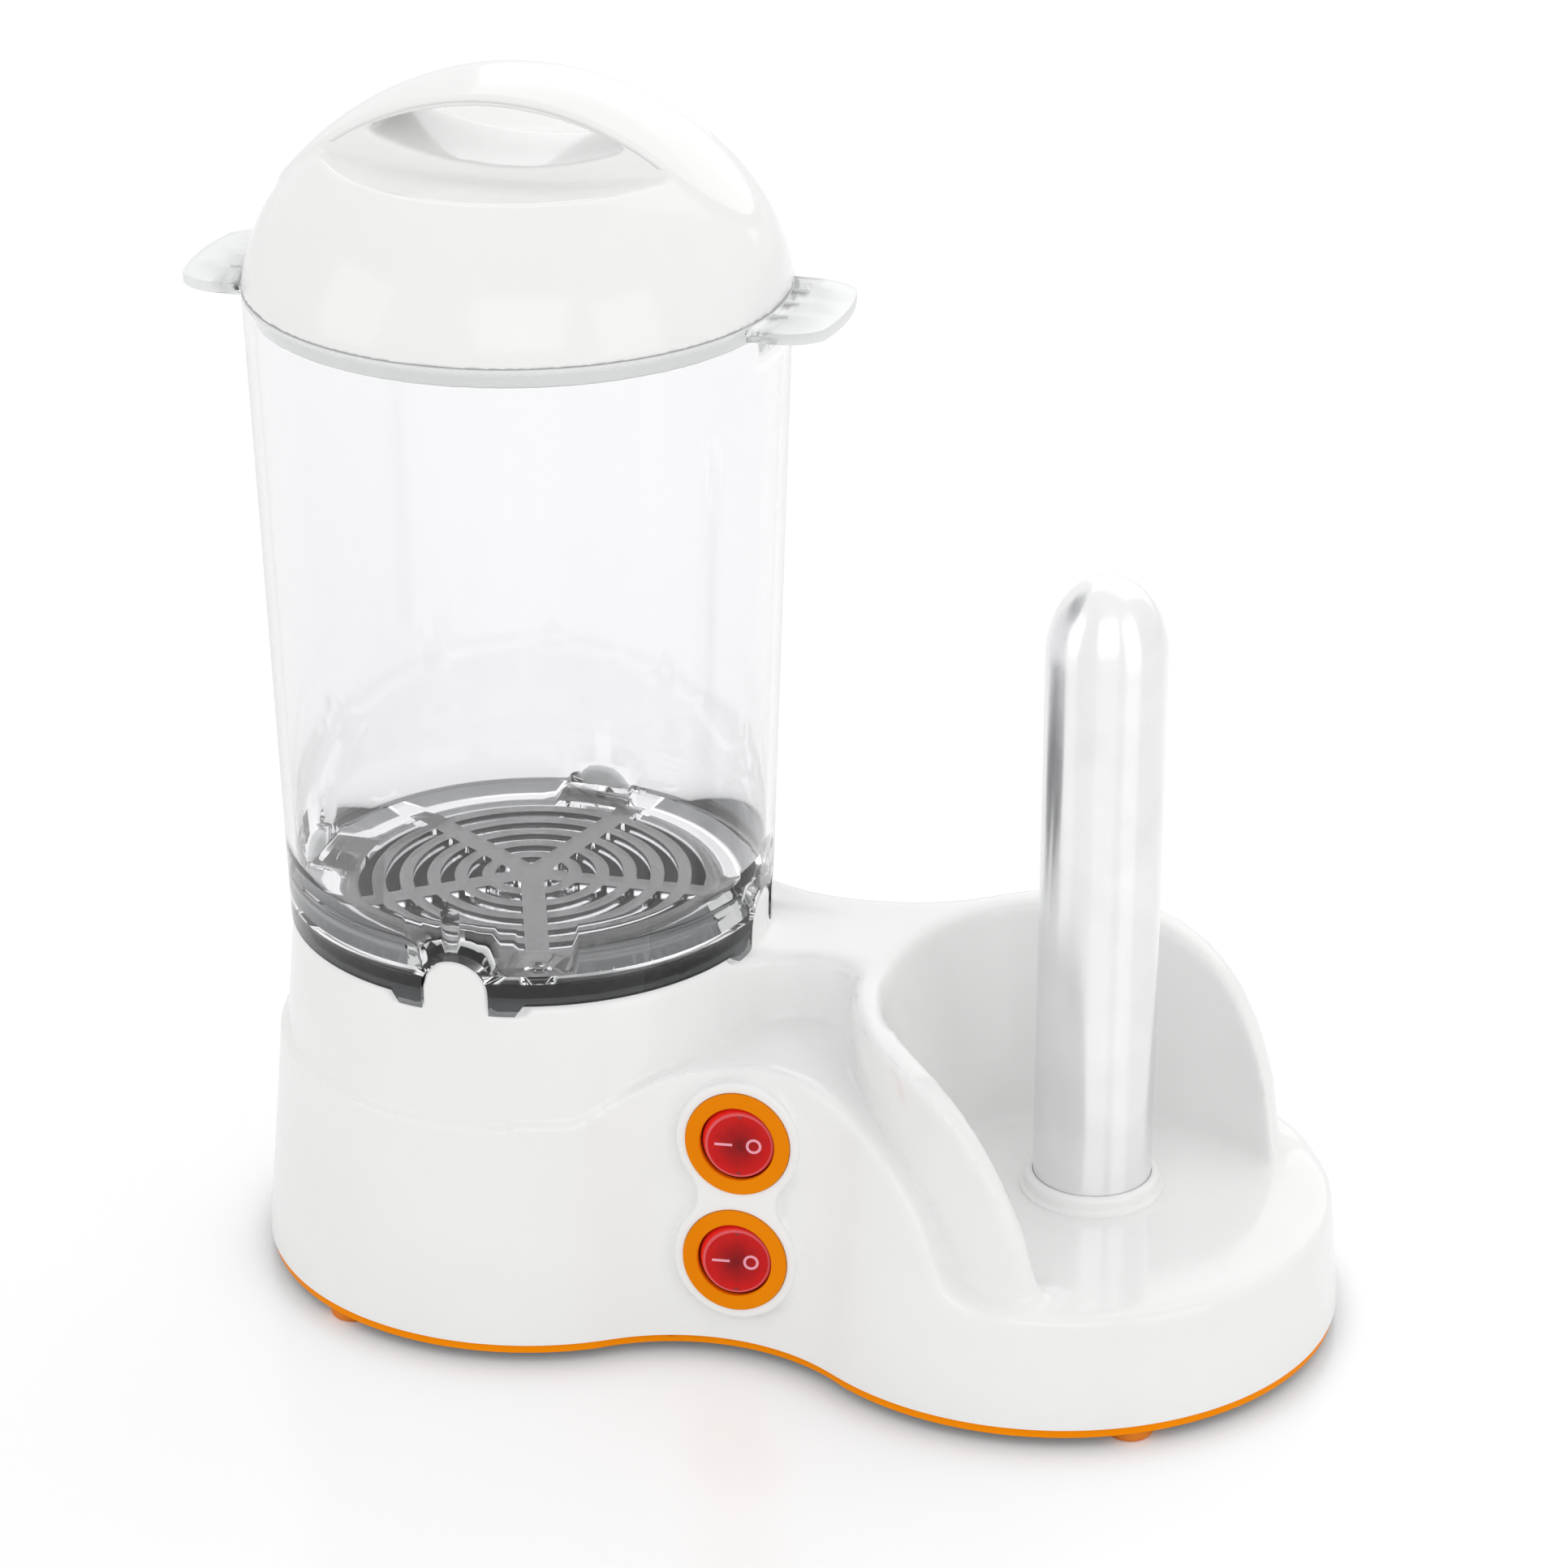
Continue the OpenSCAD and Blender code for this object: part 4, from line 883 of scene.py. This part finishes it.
SCREWS = screw_maker()
SCREW_SIZES = {"Head Radius": 2.9 * MM, "Head Height": 1.8 * MM, "Shank Radius": 1.5 * MM,
               "Slot": Vector((3.2, 0.7, 1.6)) * MM, "Finish": STEEL}
SCREW_IN = 12.8
END_SCREW_IN = 9.6
CLAMP_SCREW_OUT = SPIKE_R + 10.1
base_places = [(axis + r * math.cos(math.radians(a)), r * math.sin(math.radians(a)))
               for axis, r, a in ((0, DRUM_R - SCREW_IN, 180), (0, DRUM_R - SCREW_IN, 70),
                                  (0, DRUM_R - SCREW_IN, -70), (AXIS_GAP, PAD_R - SCREW_IN, 110),
                                  (AXIS_GAP, PAD_R - SCREW_IN, -110), (AXIS_GAP, PAD_R - END_SCREW_IN, 0))]
clamp_places = [(SPIKE_X, end * CLAMP_SCREW_OUT) for end in (-1, 1)]
for node, places, z, length in (("base_screws", base_places, FOOT_H - 0.8, 12.0),
                                ("clamp_screws", clamp_places, CLAMP_Z - 3.4, 6.0)):
    spots = bpy.data.meshes.new(node + "_spots")
    spots.from_pydata([at(x, y, z).translation for x, y in places], [], [])
    screws = grown(node + "_set", spots, SCREWS, {**SCREW_SIZES, "Shank Length": length * MM})
    piece(node + "_set", screws, "base", "sheet_steel", node)

# Finishes of the nodes that stay as they are
for material, nodes in (
        (STEEL, ("dish_ring", "spike_clamp")),
        (ALLOY, ("ring_heater", "thermal_fuse")),
        (BLACK, ("thermostat", "upper_switch_body", "lower_switch_body")),
        (SILICONE, ("dish_seal",)), (CERAMIC, ("spike_heater",)), (BLOCK, ("terminal_block",)),
        (LAMP, ("upper_switch_lamp", "lower_switch_lamp")),
        (BRASS, ("upper_switch_blades", "lower_switch_blades"))):
    for node in nodes:
        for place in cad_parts[node].material_slots:
            place.material = material


# Studio: pale floor, white surroundings, large soft lamps

def studio_floor():
    """Satin white table with the shadow and a weak mirror image; seen directly it is lifted, most far out."""
    material, tree, place = blank("satin white table")
    fine = add(tree, "ShaderNodeTexNoise", {"Vector": place, **waves(60.0, 2.0)})
    table = add(tree, "ShaderNodeBsdfPrincipled", {
        "Base Color": linear("#F6F6F6"),
        "Roughness": add(tree, "ShaderNodeMapRange", {"Value": fine, **mid(0.2, 0.22)}),
        "IOR": 1.4,
    })
    path = add(tree, "ShaderNodeLightPath").outputs
    seen = add(tree, "ShaderNodeMath", {0: path["Is Camera Ray"], 1: path["Is Transmission Ray"]},
               operation="MAXIMUM")
    out = add(tree, "ShaderNodeVectorMath", {0: place}, operation="LENGTH").outputs["Value"]
    pale = add(tree, "ShaderNodeMapRange",
               {"Value": out, "From Min": 0.35, "From Max": 1.2, "To Min": 0.06, "To Max": 0.16})
    lift = add(tree, "ShaderNodeMath", {0: seen, 1: pale}, operation="MULTIPLY")
    glow = add(tree, "ShaderNodeEmission", {"Color": linear("#FFFFFF"), "Strength": lift})
    both = add(tree, "ShaderNodeAddShader", {0: table, 1: glow})
    add(tree, "ShaderNodeOutputMaterial", {"Surface": both})
    return material


FLOOR_HALF = 6.0
bm = bmesh.new()
bmesh.ops.create_grid(bm, x_segments=1, y_segments=1, size=FLOOR_HALF)
floor = bpy.data.objects.new("studio_floor", bpy.data.meshes.new("studio_floor"))
bm.to_mesh(floor.data)
bm.free()
floor.data.materials.append(studio_floor())
bpy.context.scene.collection.objects.link(floor)

# White where it is seen or mirrored, a little less as light
world = bpy.data.worlds.new("white studio")
bpy.context.scene.world = world
world.use_nodes = True
sky = world.node_tree
sky.nodes.clear()
path = add(sky, "ShaderNodeLightPath").outputs
direct = add(sky, "ShaderNodeMath", {0: path["Is Camera Ray"], 1: path["Is Transmission Ray"]},
             operation="MAXIMUM")
direct = add(sky, "ShaderNodeMath", {0: direct, 1: path["Is Glossy Ray"]}, operation="MAXIMUM")
level = add(sky, "ShaderNodeMapRange", {"Value": direct, "To Min": 0.9, "To Max": 1.0})
backdrop = add(sky, "ShaderNodeBackground", {"Color": linear("#FFFFFF"), "Strength": level})
add(sky, "ShaderNodeOutputWorld", {"Surface": backdrop})


def lamp(name, spot, target, size, power):
    """A soft rectangular lamp at spot, turned to target; metres and watts."""
    light = bpy.data.lights.new(name, "AREA")
    light.shape = "RECTANGLE"
    light.size, light.size_y = size
    light.energy = power
    made = bpy.data.objects.new(name, light)
    made.location = spot
    made.rotation_euler = (Vector(target) - Vector(spot)).to_track_quat("-Z", "Y").to_euler()
    made.visible_camera = False
    bpy.context.scene.collection.objects.link(made)


lamp("rear softbox", (0.1, 0.75, 1.25), (-0.02, 0, 0.14), (1.6, 1.0), 2.0)
lamp("low rear softbox", (0.1, 1.4, 0.75), (-0.06, 0, 0.28), (1.6, 0.7), 2.1)
lamp("front softbox", (0.4, -1.3, 0.75), (0.04, 0, 0.11), (1.0, 0.8), 1.9)
lamp("left softbox", (-1.3, -0.9, 0.6), (0, 0, 0.12), (0.8, 1.0), 1.5)
lamp("right softbox", (1.4, -0.7, 0.55), (0, 0, 0.12), (0.8, 1.0), 1.8)

# Camera at the photograph's angle
CAMERA_SPOT = (0.2818, -0.9967, 0.5968)
CAMERA_WAY = (-0.2699, 0.9629)
CAMERA_DOWN = math.radians(24.448)
camera = bpy.data.cameras.new("camera")
camera.lens, camera.sensor_width = 113.009, 36.0
camera.clip_start, camera.clip_end = 0.05, 30.0
view = bpy.data.objects.new("camera", camera)
view.location = CAMERA_SPOT
level_way = Vector((*CAMERA_WAY, 0)) * math.cos(CAMERA_DOWN)
aim = level_way - Vector((0, 0, math.sin(CAMERA_DOWN)))
view.rotation_euler = aim.to_track_quat("-Z", "Y").to_euler()
bpy.context.scene.collection.objects.link(view)
bpy.context.scene.camera = view
bpy.context.scene.view_settings.view_transform = "Standard"
